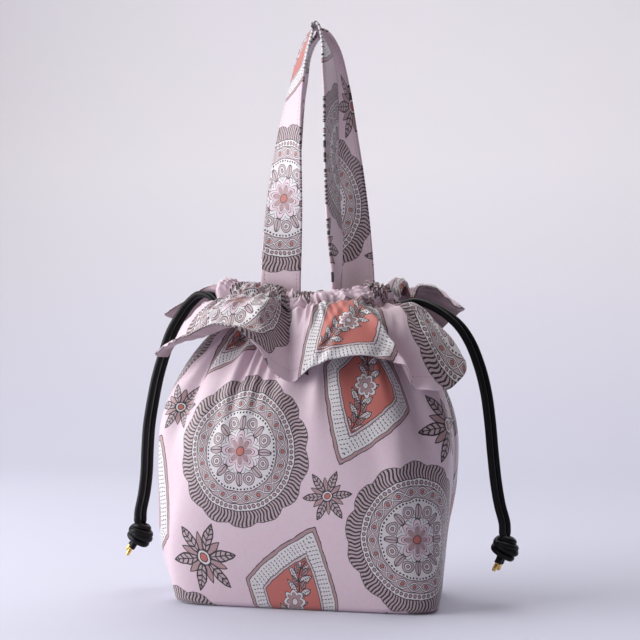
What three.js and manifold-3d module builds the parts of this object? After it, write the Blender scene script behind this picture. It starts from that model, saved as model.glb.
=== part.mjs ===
// A gathered drawstring bag that stands on a flat boxed base. Two printed body panels and their lining
// rise to a neck, where two casings carry the drawcords. A faced ruffle turns down over each casing, two
// flat strap handles stand above it, and each drawcord's ends are tied in a knot and tipped in brass.
// Millimetres, +Z up, front towards -Y, origin on the floor under the middle of the base.

import * as THREE from 'three';
import { mergeVertices } from 'three/addons/utils/BufferGeometryUtils.js';
import loadManifold from 'manifold-3d';

// Body: widths and depths are measured over the outer cloth
const BASE_WIDTH = 194;
const BASE_DEPTH = 104;
const BASE_EDGE_RADIUS = 6;
const BASE_SQUARENESS = 8;
const BELLY_WIDTH = 224;
const BELLY_DEPTH = 132;
const BELLY_HEIGHT = 115;
const NECK_WIDTH = 124;
const NECK_DEPTH = 64;
const NECK_HEIGHT = 206;
const NECK_SQUARENESS = 2.6;
const LOWER_FULLNESS = 0.8;
const UPPER_FULLNESS = 0.75;
const PANEL_THICKNESS = 1.2;
const LINING_THICKNESS = 0.8;
const LINING_EASE = 1.8;
const PLEATS_PER_PANEL = 7;
const PLEAT_DEPTH = 2.5;
const PLEAT_LENGTH = 50;

// The body's main folds, as each panel is seen from outside: share of the way across at the top, the same
// at the foot, half width as a share, height of the ridge (a groove is negative), heights of foot and top
const FRONT_BODY_FOLDS = [
  [0.74, 0.77, 0.03, 4, 75, 188],
  [0.81, 0.84, 0.03, -1.2, 105, 190],
  [0.89, 0.9, 0.034, 3, 95, 178],
  [0.48, 0.45, 0.04, 2, 90, 190],
  [0.28, 0.26, 0.03, 1.6, 110, 188],
  [0.21, 0.2, 0.03, -1.2, 120, 182],
  [0.15, 0.14, 0.032, 3.4, 70, 184],
];
const BACK_BODY_FOLDS = [
  [0.18, 0.14, 0.04, 2.8, 65, 186],
  [0.26, 0.2, 0.03, -1.2, 85, 190],
  [0.45, 0.52, 0.04, 1.8, 90, 188],
  [0.76, 0.82, 0.038, 2.6, 65, 184],
];
const FOLD_FADE_OUT = 12;
const FOLD_FADE_IN = 30;

// Gaps between pieces that are sewn edge to edge, and between pieces that lie on each other
const SEAM_GAP = 0.4;
const LAYER_GAP = 0.35;

// Casing round the neck, and the mouth that it leaves open
const CASING_HEIGHT = 19;
const CASING_OVERHANG = 3;
const CASING_ROUND = 3;
const MOUTH_WIDTH = 68;
const MOUTH_DEPTH = 30;
const MOUTH_SQUARENESS = 2.4;

// Ruffle flaps: the hem's outline seen from above, and how far it hangs below the casing's top at evenly
// spaced places from the left corner to the right one, as each flap is seen from outside
const RUFFLE_THICKNESS = 0.9;
const FACING_THICKNESS = 0.7;
const RUFFLE_INSET = 5;
const RUFFLE_ROLL = 6;
const RUFFLE_ROOT_GAP = 32;
const HEM_WIDTH = 234;
const HEM_DEPTH = 140;
const HEM_SQUARENESS = 2.2;
const HEM_CORNER_GAP = 28;
const FRONT_HEM_DROPS = [46, 44, 39, 31, 25, 39, 57, 49, 45, 49, 66, 69, 55];
const BACK_HEM_DROPS = [10, 14, 28, 44, 55, 59, 53, 58, 58, 48, 31, 19, 14];

// The flaps' folds: share of the way across at the root, the same at the hem, half width as a share, and
// height of the ridge at the hem (a groove is negative). They grow between two shares of the way out.
const FRONT_FLAP_FOLDS = [
  [0.16, 0.18, 0.07, 4.5], [0.28, 0.35, 0.03, -3], [0.34, 0.43, 0.03, 4.5], [0.44, 0.505, 0.032, -7],
  [0.52, 0.58, 0.034, 4], [0.63, 0.69, 0.03, -2.5], [0.7, 0.785, 0.028, 5], [0.77, 0.845, 0.028, -4],
  [0.86, 0.92, 0.05, 6],
];
const BACK_FLAP_FOLDS = [
  [0.2, 0.2, 0.05, 5], [0.33, 0.31, 0.03, -4.5], [0.46, 0.45, 0.04, 4], [0.57, 0.6, 0.03, -5],
  [0.7, 0.72, 0.05, 5], [0.84, 0.86, 0.03, -3],
];
const FOLD_START = 0.12;
const FOLD_FULL = 0.85;
const FOLD_ROOT_WIDTH = 0.55;

// How far each flap arches up near its left and its right corner, and how far its hem turns up, through
// points of [share of the way across, amount]. The turn-up sinks a gutter and then reaches outwards.
const FRONT_ARCH = [0, 3];
const BACK_ARCH = [8, 13];
const ARCH_START = 0.45;
const ARCH_FULL = 0.85;
const ARCH_MIDDLE = 0.62;
const ARCH_SPREAD = 0.26;
const FRONT_CURL = [[0, 0], [0.08, 5], [0.26, 9.5], [0.37, 8.5], [0.43, 0], [1, 0]];
const BACK_CURL = [[0, 0], [1, 0]];
const GUTTER_START = 0.62;
const GUTTER_DEPTH = 1.1;
const TURN_START = 0.84;
const TURN_REACH = 0.8;
const CORNER_SHARE = 0.1;
const HANG_POWER = 1.6;

// Strap handles: each loop runs from its left foot over the top to its right foot, as it is seen from
// outside, through points of [place across, share of the rise]
const STRAP_WIDTH = 30;
const STRAP_THICKNESS = 2.4;
const STRAP_SETBACK = 5.3;
const HANDLE_RISE = 191;
const FRONT_LOOP = [
  [-18.5, 0], [-18.5, 0.03], [-16.5, 0.3], [-13.5, 0.55], [-7.5, 0.78], [-1, 0.93], [6.5, 1],
  [14, 0.93], [18, 0.78], [19, 0.55], [21, 0.3], [25, 0.03], [25, 0],
];
const BACK_LOOP = [
  [-28, 0], [-28, 0.03], [-25, 0.3], [-22, 0.55], [-19, 0.78], [-13, 0.93], [-5, 1],
  [4, 0.93], [11, 0.78], [19, 0.55], [24, 0.3], [27, 0.03], [27, 0],
];

// Drawcords: two cords share each casing's channel, one above the other where they leave it
const CORD_DIAMETER = 5;
const CORD_SPACING = 6.5;
const CHANNEL_CLEARANCE = 0.55;
const TURN_RADIUS = 10;
const PULL_TRAVEL = 26;
const PULL_RESERVE = 2;
const CORD_END_GAP = 0.9;

// Routes of the free ends from the casing to the knot, through points of [across, half the distance
// between the two strands, height]
const LEFT_ROUTE = [
  [-71, 9.7, 220.2], [-79, 7.6, 226.6], [-87.5, 5, 227.4], [-96.5, 3.4, 220.5], [-104, 3, 210.5],
  [-110.7, 2.8, 199], [-116.4, 2.8, 183.5], [-122.1, 2.8, 164.9], [-126.2, 2.8, 145.6],
  [-129.3, 2.8, 126.3], [-130.6, 2.8, 107.8], [-131.4, 2.8, 90.1], [-133.3, 2.8, 74.5],
  [-136.2, 2.8, 60.5],
];
const RIGHT_ROUTE = [
  [71, 9.7, 219.6], [80, 7.4, 221.6], [95, 4.3, 216.3], [109.5, 3, 205.5], [118.5, 2.8, 193],
  [126, 2.8, 174.5], [130.8, 2.8, 155.5], [133.7, 2.8, 134.5], [135.9, 2.8, 110.5],
  [138.3, 2.8, 88.5], [141, 2.8, 73], [144.3, 2.8, 60.2],
];
const LEFT_KNOT_CENTRE = [-136.5, 0, 42.5];
const RIGHT_KNOT_CENTRE = [144.6, 0, 42.2];
const KNOT_SIZE = [20, 18, 22];
const KNOT_GROOVE = 0.1;
const LEFT_TIP_DIRECTION = [-0.45, 0.25, -0.85];
const RIGHT_TIP_DIRECTION = [-0.35, 0.25, -0.9];
const TIP_DIAMETER = 3.2;
const TIP_LENGTH = 11;

// Steps along the surfaces
const OUTLINE_STEPS = 240;
const PANEL_COLUMNS = 4 * PLEATS_PER_PANEL;
const LINING_COLUMNS = 16;
const WALL_ROWS = 7;
const EDGE_ROWS = 2;
const FLOOR_ROWS = 2;
const CASING_COLUMNS = 6 * PLEATS_PER_PANEL;
const MOUTH_COLUMNS = 12;
const RUFFLE_COLUMNS = 32;
const RUFFLE_ROWS = [0, 0.03, 0.1, 0.25, 0.5, 0.75, 1];
const STRAP_STEPS = 34;
const CORD_SIDES = 8;
const STRAND_STEPS = 20;
const LOOP_STEPS = 34;
const CHANNEL_SIDES = 12;
const CHANNEL_STEPS = 24;

// Finishes
const PRINT = { color: 0xdcc0c4, roughness: 0.55, metalness: 0 };
const PLAIN = { color: 0xa98a8e, roughness: 0.7, metalness: 0 };
const CORD = { color: 0x17171a, roughness: 0.6, metalness: 0 };
const BRASS = { color: 0xc9a24a, roughness: 0.3, metalness: 1 };

// Places worked out from the driving dimensions
const casingBottom = NECK_HEIGHT + SEAM_GAP;
const casingTop = casingBottom + CASING_HEIGHT;
const casingHalfWidth = NECK_WIDTH / 2 + CASING_OVERHANG;
const casingHalfDepth = NECK_DEPTH / 2 + CASING_OVERHANG;
const ruffleRoot = casingTop + LAYER_GAP;
const handleLine = MOUTH_DEPTH / 2 + STRAP_SETBACK + STRAP_THICKNESS / 2;
const handlePivot = ruffleRoot + RUFFLE_ROLL + STRAP_THICKNESS / 2 + LAYER_GAP;
const channelHeight = casingBottom + CASING_HEIGHT / 2;
const channelMiddle = (MOUTH_DEPTH / 2 + casingHalfDepth) / 2;
const channelRadius = CORD_SPACING / 2 + CORD_DIAMETER / 2 + CHANNEL_CLEARANCE;
const cordExit = casingHalfWidth - SEAM_GAP;
const channelBend = cordExit - PULL_TRAVEL - PULL_RESERVE;

const wasm = await loadManifold();
wasm.setup();

const { lerp, smoothstep, degToRad, clamp } = THREE.MathUtils;
const signedPower = (value, power) => Math.sign(value) * Math.abs(value) ** power;

// Front half of a superellipse seen from above, from its left end to its right end. It stops half of
// endGap short of the line between front and back.
function frontOutline(halfWidth, halfDepth, squareness, endGap) {
  const ring = [];
  for (let step = 0; step <= OUTLINE_STEPS; step += 1) {
    const angle = Math.PI * (1 + step / OUTLINE_STEPS);
    const x = halfWidth * signedPower(Math.cos(angle), 2 / squareness);
    const y = halfDepth * signedPower(Math.sin(angle), 2 / squareness);
    ring.push(new THREE.Vector2(x, y));
  }
  const even = new THREE.Path(ring).getSpacedPoints(OUTLINE_STEPS);
  const isClear = (point) => point.y < -endGap / 2;
  const first = even.findIndex(isClear);
  const last = even.findLastIndex(isClear);
  const start = new THREE.Vector2(even[first - 1].x, -endGap / 2);
  const end = new THREE.Vector2(even[last + 1].x, -endGap / 2);
  return new THREE.Path([start, ...even.slice(first, last + 1), end]);
}

// A closed solid from points and triangles: shared points are merged, empty triangles dropped and the
// faces turned outwards.
function closedSolid(points, triangles) {
  const raw = new THREE.BufferGeometry().setFromPoints(points);
  raw.setIndex(triangles);
  const merged = mergeVertices(raw, 1e-4);
  const index = merged.index.array;
  const corners = [new THREE.Vector3(), new THREE.Vector3(), new THREE.Vector3()];
  const kept = [];
  let volume = 0;
  for (let i = 0; i < index.length; i += 3) {
    const [a, b, c] = index.slice(i, i + 3);
    if (a !== b && b !== c && c !== a) {
      kept.push([a, b, c]);
      corners.forEach((corner, n) => corner.fromBufferAttribute(merged.attributes.position, index[i + n]));
      volume += corners[0].dot(corners[1].cross(corners[2]));
    }
  }
  merged.setIndex(kept.flatMap(([a, b, c]) => (volume > 0 ? [a, b, c] : [a, c, b])));
  merged.computeVertexNormals();
  return merged;
}

// A sheet of cloth as a closed solid: outer and inner hold the two faces as rows of points.
function sheetSolid(outer, inner) {
  const rows = outer.length;
  const columns = outer[0].length;
  const triangles = [];
  const at = (face, row, column) => (face * rows + row) * columns + column;
  const quad = (a, b, c, d) => triangles.push(a, b, c, a, c, d);
  for (let row = 0; row < rows - 1; row += 1) {
    for (let column = 0; column < columns - 1; column += 1) {
      quad(at(0, row, column), at(0, row + 1, column), at(0, row + 1, column + 1), at(0, row, column + 1));
      quad(at(1, row, column), at(1, row, column + 1), at(1, row + 1, column + 1), at(1, row + 1, column));
    }
    const right = columns - 1;
    quad(at(0, row + 1, 0), at(0, row, 0), at(1, row, 0), at(1, row + 1, 0));
    quad(at(0, row, right), at(0, row + 1, right), at(1, row + 1, right), at(1, row, right));
  }
  for (let column = 0; column < columns - 1; column += 1) {
    const foot = rows - 1;
    quad(at(0, 0, column), at(0, 0, column + 1), at(1, 0, column + 1), at(1, 0, column));
    quad(at(0, foot, column + 1), at(0, foot, column), at(1, foot, column), at(1, foot, column + 1));
  }
  return closedSolid([...outer.flat(), ...inner.flat()], triangles);
}

// The body's cross-section at a height: base to belly to neck, with the pleats deepening to the neck.
function wallSection(height) {
  const above = Math.max(0, height - BELLY_HEIGHT) / (NECK_HEIGHT - BELLY_HEIGHT);
  const below = Math.min(1, height / BELLY_HEIGHT);
  const isUpper = above > 0;
  const swell = isUpper
    ? Math.max(0, Math.cos((above * Math.PI) / 2)) ** UPPER_FULLNESS
    : Math.sin((below * Math.PI) / 2) ** LOWER_FULLNESS;
  const pleatShare = Math.max(0, (height - NECK_HEIGHT) / PLEAT_LENGTH + 1);
  const boxShare = (1 - height / NECK_HEIGHT) ** 3;
  return {
    halfWidth: lerp(isUpper ? NECK_WIDTH : BASE_WIDTH, BELLY_WIDTH, swell) / 2,
    halfDepth: lerp(isUpper ? NECK_DEPTH : BASE_DEPTH, BELLY_DEPTH, swell) / 2,
    squareness: lerp(NECK_SQUARENESS, BASE_SQUARENESS, boxShare),
    pleat: PLEAT_DEPTH * pleatShare ** 1.5,
  };
}

// How far a pleat draws the cloth in at a share of the way across a panel: full at both side seams.
const pleatWave = (across) => (1 + Math.cos(2 * Math.PI * PLEATS_PER_PANEL * across)) / 2;

// A fold's bell-shaped section at a share of the way across.
const foldBell = (across, line, halfWidth) => Math.exp(-(((across - line) / halfWidth) ** 2));

// How far the body's folds stand out at a place on a panel.
function bodyFoldPush(folds, across, height) {
  return folds.reduce((push, [topShare, footShare, halfWidth, depth, foot, top]) => {
    const line = lerp(footShare, topShare, (height - foot) / (top - foot));
    const rise = smoothstep(height, foot - FOLD_FADE_OUT, foot + FOLD_FADE_IN);
    const fall = 1 - smoothstep(height, top - FOLD_FADE_IN, top + FOLD_FADE_OUT);
    return push + depth * rise * fall * foldBell(across, line, halfWidth);
  }, 0);
}

// One row of a body layer, inset from the outer face of the cloth. A layer with no folds of its own is
// plain and lies behind the pleats.
function wallRow(height, z, inset, columns, folds) {
  const section = wallSection(height);
  const halfWidth = section.halfWidth - inset;
  const halfDepth = section.halfDepth - inset;
  const outline = frontOutline(halfWidth, halfDepth, section.squareness, SEAM_GAP);
  return outline.getSpacedPoints(columns).map((point, column) => {
    const across = column / columns;
    const pulled = folds
      ? section.pleat * pleatWave(across) - bodyFoldPush(folds, across, height)
      : section.pleat;
    const scale = 1 - pulled / point.length();
    return new THREE.Vector3(point.x * scale, Math.min(point.y * scale, -SEAM_GAP / 2), z);
  });
}

// All rows of a body layer: down the wall, round the base edge and in to the seam under the base.
function bodyRows(inset, columns, folds) {
  const rows = [];
  for (let row = 0; row <= WALL_ROWS; row += 1) {
    const height = lerp(NECK_HEIGHT, BASE_EDGE_RADIUS, (row / WALL_ROWS) ** 1.3);
    rows.push(wallRow(height, height, inset, columns, folds));
  }
  const radius = BASE_EDGE_RADIUS - inset;
  for (let row = 1; row <= EDGE_ROWS; row += 1) {
    const angle = ((row / EDGE_ROWS) * Math.PI) / 2;
    const z = inset + radius * (1 - Math.sin(angle));
    rows.push(wallRow(BASE_EDGE_RADIUS, z, inset + radius * (1 - Math.cos(angle)), columns, folds));
  }
  const edge = rows.at(-1);
  const reach = edge.at(-1).x;
  for (let row = 1; row <= FLOOR_ROWS; row += 1) {
    const share = row / FLOOR_ROWS;
    rows.push(edge.map((point, column) => {
      const seam = lerp(-reach, reach, column / columns);
      return new THREE.Vector3(lerp(point.x, seam, share), lerp(point.y, -SEAM_GAP / 2, share), point.z);
    }));
  }
  return rows;
}

function bodyLayer(inset, thickness, columns, folds) {
  const outer = bodyRows(inset, columns, folds);
  return sheetSolid(outer, bodyRows(inset + thickness, columns, folds));
}

// A round tube along a smooth curve through points.
function tubeSolid(points, diameter, sides, steps) {
  const section = new THREE.Shape();
  section.setFromPoints(Array.from({ length: sides }, (_, side) => {
    const angle = (2 * Math.PI * (side + 0.5)) / sides;
    return new THREE.Vector2(Math.cos(angle), Math.sin(angle)).multiplyScalar(diameter / 2);
  }));
  const extrudePath = new THREE.CatmullRomCurve3(points);
  return plainGeometry(new THREE.ExtrudeGeometry(section, { steps, bevelEnabled: false, extrudePath }));
}

// A geometry's points and triangles alone, with shared points merged.
function plainGeometry(geometry) {
  geometry.deleteAttribute('normal');
  geometry.deleteAttribute('uv');
  const merged = mergeVertices(geometry, 1e-4);
  const position = merged.attributes.position;
  const points = Array.from({ length: position.count }, (_, i) => (
    new THREE.Vector3().fromBufferAttribute(position, i)
  ));
  return closedSolid(points, Array.from(merged.index.array));
}

function cutSolid(block, cutter) {
  const [body, tool] = [block, cutter].map((geometry) => new wasm.Manifold(new wasm.Mesh({
    numProp: 3,
    vertProperties: new Float32Array(geometry.attributes.position.array),
    triVerts: new Uint32Array(geometry.index.array),
  })));
  const result = body.subtract(tool).getMesh();
  const cut = new THREE.BufferGeometry();
  cut.setAttribute('position', new THREE.BufferAttribute(result.vertProperties, 3));
  cut.setIndex(Array.from(result.triVerts));
  cut.computeVertexNormals();
  return cut;
}

// The channel's centre line seen from above: straight at both ends, bowed round the mouth between them.
function channelPlace(x) {
  const bow = (1 + Math.cos((Math.PI * clamp(x, -channelBend, channelBend)) / channelBend)) / 2;
  return -lerp(TURN_RADIUS, channelMiddle, bow);
}

// A casing: half a gathered ring with rounded edges and a scalloped outside, bored along its channel.
function casingSolid() {
  const outline = frontOutline(casingHalfWidth, casingHalfDepth, NECK_SQUARENESS, SEAM_GAP);
  const outside = outline.getSpacedPoints(CASING_COLUMNS).map((point, column) => {
    const scale = 1 - (PLEAT_DEPTH * pleatWave(column / CASING_COLUMNS)) / point.length();
    return new THREE.Vector2(point.x * scale, Math.min(point.y * scale, -SEAM_GAP / 2));
  });
  const mouth = frontOutline(MOUTH_WIDTH / 2, MOUTH_DEPTH / 2, MOUTH_SQUARENESS, SEAM_GAP);
  const inside = mouth.getSpacedPoints(MOUTH_COLUMNS).reverse();
  const block = new THREE.ExtrudeGeometry(new THREE.Shape([...outside, ...inside]), {
    depth: CASING_HEIGHT - 2 * CASING_ROUND,
    bevelThickness: CASING_ROUND,
    bevelSize: CASING_ROUND,
    bevelOffset: -CASING_ROUND,
    bevelSegments: 2,
  });
  block.translate(0, 0, casingBottom + CASING_ROUND);
  const reach = casingHalfWidth + channelRadius;
  const route = Array.from({ length: CHANNEL_STEPS + 1 }, (_, step) => {
    const x = lerp(-reach, reach, step / CHANNEL_STEPS);
    return new THREE.Vector3(x, channelPlace(x), channelHeight);
  });
  const channel = tubeSolid(route, 2 * channelRadius, CHANNEL_SIDES, CHANNEL_STEPS);
  return cutSolid(plainGeometry(block), channel);
}

// A value read between points of [place, value].
function readBetween(points, place) {
  const next = Math.max(1, points.findIndex(([at]) => at >= place));
  const [[low, before], [high, after]] = [points[next - 1], points[next]];
  return lerp(before, after, (place - low) / (high - low));
}

// The direction behind a face at a place on it.
function behindFace(face, across, out) {
  const step = 1e-3;
  const [left, right] = [Math.max(0, across - step), Math.min(1, across + step)];
  const [inner, outer] = [Math.max(0, out - step), Math.min(1, out + step)];
  const along = face(right, out).sub(face(left, out));
  const down = face(across, outer).sub(face(across, inner));
  return along.cross(down).normalize();
}

// The printed face of a flap without its folds: out runs from its root on the casing, over a roll, to the
// hem. Its corners are rounded, and it arches up near them.
function rolledFace({ drops, arch }) {
  const halfWidth = casingHalfWidth - RUFFLE_INSET;
  const halfDepth = casingHalfDepth - RUFFLE_INSET;
  const root = frontOutline(halfWidth, halfDepth, NECK_SQUARENESS, RUFFLE_ROOT_GAP);
  const hem = frontOutline(HEM_WIDTH / 2, HEM_DEPTH / 2, HEM_SQUARENESS, HEM_CORNER_GAP);
  const drop = new THREE.SplineCurve(drops.map((depth, place) => new THREE.Vector2(place, depth)));
  return (across, out) => {
    const ends = Math.abs(2 * across - 1);
    const corner = Math.max(0, (ends - 1) / CORNER_SHARE + 1);
    const reach = out * (1 - CORNER_SHARE * corner ** 2);
    const plan = root.getPoint(across).lerp(hem.getPoint(across), reach);
    const roll = RUFFLE_ROLL * Math.sin(Math.PI * Math.sqrt(out));
    const swell = arch[across < 0.5 ? 0 : 1] * smoothstep(ends, ARCH_START, ARCH_FULL);
    const lift = swell * foldBell(out, ARCH_MIDDLE, ARCH_SPREAD);
    const z = ruffleRoot + roll + lift - drop.getPoint(across).y * out ** HANG_POWER;
    return new THREE.Vector3(plan.x, plan.y, z);
  };
}

// The printed face of a flap: folds that grow from its root to its hem, and a hem that turns up where the
// curl is set.
function ruffleFace(shape) {
  const rolled = rolledFace(shape);
  return (across, out) => {
    const push = shape.folds.reduce((sum, [rootShare, hemShare, halfWidth, depth]) => {
      const spread = halfWidth * lerp(FOLD_ROOT_WIDTH, 1, out);
      return sum + depth * foldBell(across, lerp(rootShare, hemShare, out), spread);
    }, 0);
    const grown = push * smoothstep(out, FOLD_START, FOLD_FULL);
    const point = rolled(across, out).addScaledVector(behindFace(rolled, across, out), -grown);
    const curl = readBetween(shape.curl, across);
    const reach = TURN_REACH * curl * smoothstep(out, TURN_START, 1);
    const outwards = new THREE.Vector3(point.x, point.y, 0).setLength(reach);
    point.z -= GUTTER_DEPTH * curl * Math.sin(Math.PI * smoothstep(out, GUTTER_START, 1));
    return point.add(outwards);
  };
}

// A layer of a flap, from one depth behind the printed face to another.
function ruffleLayer(shape, near, far) {
  const face = ruffleFace(shape);
  const rowsAt = (depth) => RUFFLE_ROWS.map((out) => (
    Array.from({ length: RUFFLE_COLUMNS + 1 }, (_, column) => {
      const across = column / RUFFLE_COLUMNS;
      return face(across, out).addScaledVector(behindFace(face, across, out), depth);
    })
  ));
  return sheetSolid(rowsAt(near), rowsAt(far));
}

// A flat band through stations of a centre, a half-width vector and a half-thickness vector.
function bandSolid(stations) {
  const points = stations.flatMap(({ centre, width, depth }) => [[-1, -1], [1, -1], [1, 1], [-1, 1]].map(
    ([side, face]) => centre.clone().addScaledVector(width, side).addScaledVector(depth, face),
  ));
  const triangles = [];
  const quad = (a, b, c, d) => triangles.push(a, b, c, a, c, d);
  const end = 4 * (stations.length - 1);
  for (let base = 0; base < end; base += 4) {
    for (let side = 0; side < 4; side += 1) {
      const next = (side + 1) % 4;
      quad(base + side, base + next, base + next + 4, base + side + 4);
    }
  }
  quad(3, 2, 1, 0);
  quad(end, end + 1, end + 2, end + 3);
  return closedSolid(points, triangles);
}

// How far the strap has turned about its length: flat at both feet, and turned away over the top and
// down the right leg.
function strapTurn(along) {
  const rising = 62 * smoothstep(along, 0, 0.47);
  const falling = 4 * smoothstep(along, 0.5, 0.7) + 58 * smoothstep(along, 0.885, 0.985);
  return degToRad(falling - rising);
}

// A handle: the loop leans in from its feet so that the two handles meet at the top. Each foot is
// rounded about the line that the handle folds on.
function handleSolid(loop) {
  const meeting = STRAP_WIDTH / 2 + LAYER_GAP;
  const curve = new THREE.CatmullRomCurve3(loop.map(([x, share]) => (
    new THREE.Vector3(x, -lerp(handleLine, meeting, share), handlePivot + share * HANDLE_RISE)
  )));
  const stationAt = (along) => {
    const tangent = curve.getTangentAt(along);
    const turn = strapTurn(along);
    const width = new THREE.Vector3(Math.cos(turn), Math.sin(turn), 0);
    width.addScaledVector(tangent, -width.dot(tangent)).setLength(STRAP_WIDTH / 2);
    const depth = tangent.clone().cross(width).setLength(STRAP_THICKNESS / 2);
    return { centre: curve.getPointAt(along), width, depth };
  };
  const footAt = (along, angle) => {
    const { centre, width, depth } = stationAt(along);
    centre.z -= (STRAP_THICKNESS / 2) * Math.sin(angle);
    return { centre, width, depth: depth.multiplyScalar(Math.cos(angle)) };
  };
  const rounding = [70, 40].map(degToRad);
  const stations = Array.from({ length: STRAP_STEPS + 1 }, (_, step) => stationAt(step / STRAP_STEPS));
  const leftFoot = rounding.map((angle) => footAt(0, angle));
  const rightFoot = rounding.map((angle) => footAt(1, angle)).reverse();
  return bandSolid([...leftFoot, ...stations, ...rightFoot]);
}

// The sewn-in end of a strap, which stands on the casing under the handle's foot.
function strapEnd(x) {
  const top = handlePivot - STRAP_THICKNESS / 2 - LAYER_GAP;
  const bottom = casingTop + LAYER_GAP;
  const geometry = new THREE.BoxGeometry(STRAP_WIDTH, STRAP_THICKNESS, top - bottom);
  geometry.translate(x, -handleLine, (top + bottom) / 2);
  return geometry;
}

// The run of a drawcord inside the casings. It enters above its neighbour, winds half a turn round it,
// leaves below it at the far end and turns there into the other casing. Side is -1 for the left cord.
function channelLoop(side) {
  const run = (x) => {
    const turn = Math.PI * clamp((x + channelBend) / (2 * channelBend), 0, 1);
    const slope = (channelPlace(x + 0.5) - channelPlace(x - 0.5));
    const across = (side * CORD_SPACING * Math.sin(turn)) / 2;
    const normal = new THREE.Vector2(-slope, 1).normalize().multiplyScalar(across);
    const z = channelHeight + (CORD_SPACING / 2) * Math.cos(turn);
    return new THREE.Vector3(x + normal.x, channelPlace(x) + normal.y, z);
  };
  const start = CORD_END_GAP - channelBend;
  const runSteps = 15;
  const front = Array.from({ length: runSteps + 1 }, (_, step) => (
    run(lerp(start, cordExit, step / runSteps))
  ));
  const back = front.map((point) => new THREE.Vector3(point.x, -point.y, point.z)).reverse();
  const turn = [-60, -30, 0, 30, 60].map(degToRad).map((angle) => new THREE.Vector3(
    cordExit + TURN_RADIUS * Math.cos(angle),
    TURN_RADIUS * Math.sin(angle),
    front.at(-1).z,
  ));
  const points = [...front, ...turn, ...back];
  points.forEach((point) => point.set(-side * point.x, point.y, point.z));
  return tubeSolid(points, CORD_DIAMETER, CORD_SIDES, LOOP_STEPS);
}

// One free end of a drawcord: a straight run hidden in the casing, then its route down to the knot.
// Side is -1 for the left cord, and face is -1 for the strand out of the front casing.
function strand(side, face, route, knotCentre) {
  const z = channelHeight + CORD_SPACING / 2;
  const hidden = [0, 0.3, 0.6, 0.9, 1].map((share) => (
    new THREE.Vector3(side * lerp(channelBend, cordExit, share), face * TURN_RADIUS, z)
  ));
  const free = route.map(([x, spread, height]) => new THREE.Vector3(x, face * spread, height));
  const knotTop = knotCentre[2] + KNOT_SIZE[2] / 2 + LAYER_GAP;
  const end = new THREE.Vector3(knotCentre[0], face * route.at(-1)[1], knotTop);
  return tubeSolid([...hidden, ...free, end], CORD_DIAMETER, CORD_SIDES, STRAND_STEPS);
}

// Distance from a knot's centre to its surface: an egg with the grooves between its wraps of cord.
function knotReach(direction) {
  const shares = direction.toArray().map((part, axis) => part / (KNOT_SIZE[axis] / 2));
  const wrap = 2 * Math.atan2(direction.y, direction.x) + 5 * direction.z;
  const groove = KNOT_GROOVE * (1 - direction.z ** 2) * (1 - Math.cos(wrap)) / 2;
  return (1 - groove) / Math.hypot(...shares);
}

function knotSolid(centre) {
  const ball = new THREE.SphereGeometry(1, 16, 10);
  ball.rotateX(Math.PI / 2);
  const position = ball.attributes.position;
  for (let i = 0; i < position.count; i += 1) {
    const direction = new THREE.Vector3().fromBufferAttribute(position, i).normalize();
    position.setXYZ(i, ...direction.multiplyScalar(knotReach(direction)).toArray());
  }
  const solid = plainGeometry(ball);
  solid.translate(...centre);
  return solid;
}

// A brass tip: a short sleeve with a chamfered mouth and a domed end, along +Y from its mouth.
function tipSolid() {
  const radius = TIP_DIAMETER / 2;
  const profile = [
    [0, 0], [0.8, 0], [1, 0.2], [1, TIP_LENGTH / radius - 0.8], [0.7, TIP_LENGTH / radius - 0.25],
    [0, TIP_LENGTH / radius],
  ].map(([x, y]) => new THREE.Vector2(x, y).multiplyScalar(radius));
  return plainGeometry(new THREE.LatheGeometry(profile, 10));
}

function piece(name, geometry, finish) {
  const mesh = new THREE.Mesh(geometry, new THREE.MeshStandardMaterial(finish));
  mesh.name = name;
  return mesh;
}

// Half of the bag, built as the front one. The back half is the same, turned about the upright axis, so
// that its left foot and left corner lie on the bag's right.
function halfBag(face, bodyFolds, flap, loop, footNames) {
  const half = new THREE.Group();
  const liningInset = PANEL_THICKNESS + LINING_EASE;
  const facingNear = RUFFLE_THICKNESS + LAYER_GAP;
  const feet = [loop[0][0], loop.at(-1)[0]];
  half.add(
    piece(`body_${face}_panel`, bodyLayer(0, PANEL_THICKNESS, PANEL_COLUMNS, bodyFolds), PRINT),
    piece(`lining_${face}_panel`, bodyLayer(liningInset, LINING_THICKNESS, LINING_COLUMNS, null), PLAIN),
    piece(`${face}_casing`, casingSolid(), PRINT),
    piece(`${face}_ruffle`, ruffleLayer(flap, 0, RUFFLE_THICKNESS), PRINT),
    piece(`${face}_ruffle_facing`, ruffleLayer(flap, facingNear, facingNear + FACING_THICKNESS), PLAIN),
    piece(`${face}_handle`, handleSolid(loop), PRINT),
    ...feet.map((x, foot) => piece(`${face}_handle_${footNames[foot]}_end`, strapEnd(x), PRINT)),
  );
  return half;
}

// A drawcord with its run in the casings, its two free ends, their knot and their tips.
function drawcord(name, side, route, knotCentre, tipDirection) {
  const cord = new THREE.Group();
  cord.add(
    piece(`${name}_cord_channel_loop`, channelLoop(side), CORD),
    piece(`${name}_knot`, knotSolid(knotCentre), CORD),
  );
  for (const [place, face] of [['front', -1], ['back', 1]]) {
    const [across, apart, up] = tipDirection;
    const direction = new THREE.Vector3(across, face * apart, up).normalize();
    const tip = piece(`${name}_${place}_tip`, tipSolid(), BRASS);
    tip.position.set(...knotCentre).addScaledVector(direction, knotReach(direction) + LAYER_GAP);
    tip.quaternion.setFromUnitVectors(new THREE.Vector3(0, 1, 0), direction);
    cord.add(tip, piece(`${name}_cord_${place}_strand`, strand(side, face, route, knotCentre), CORD));
  }
  return cord;
}

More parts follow.
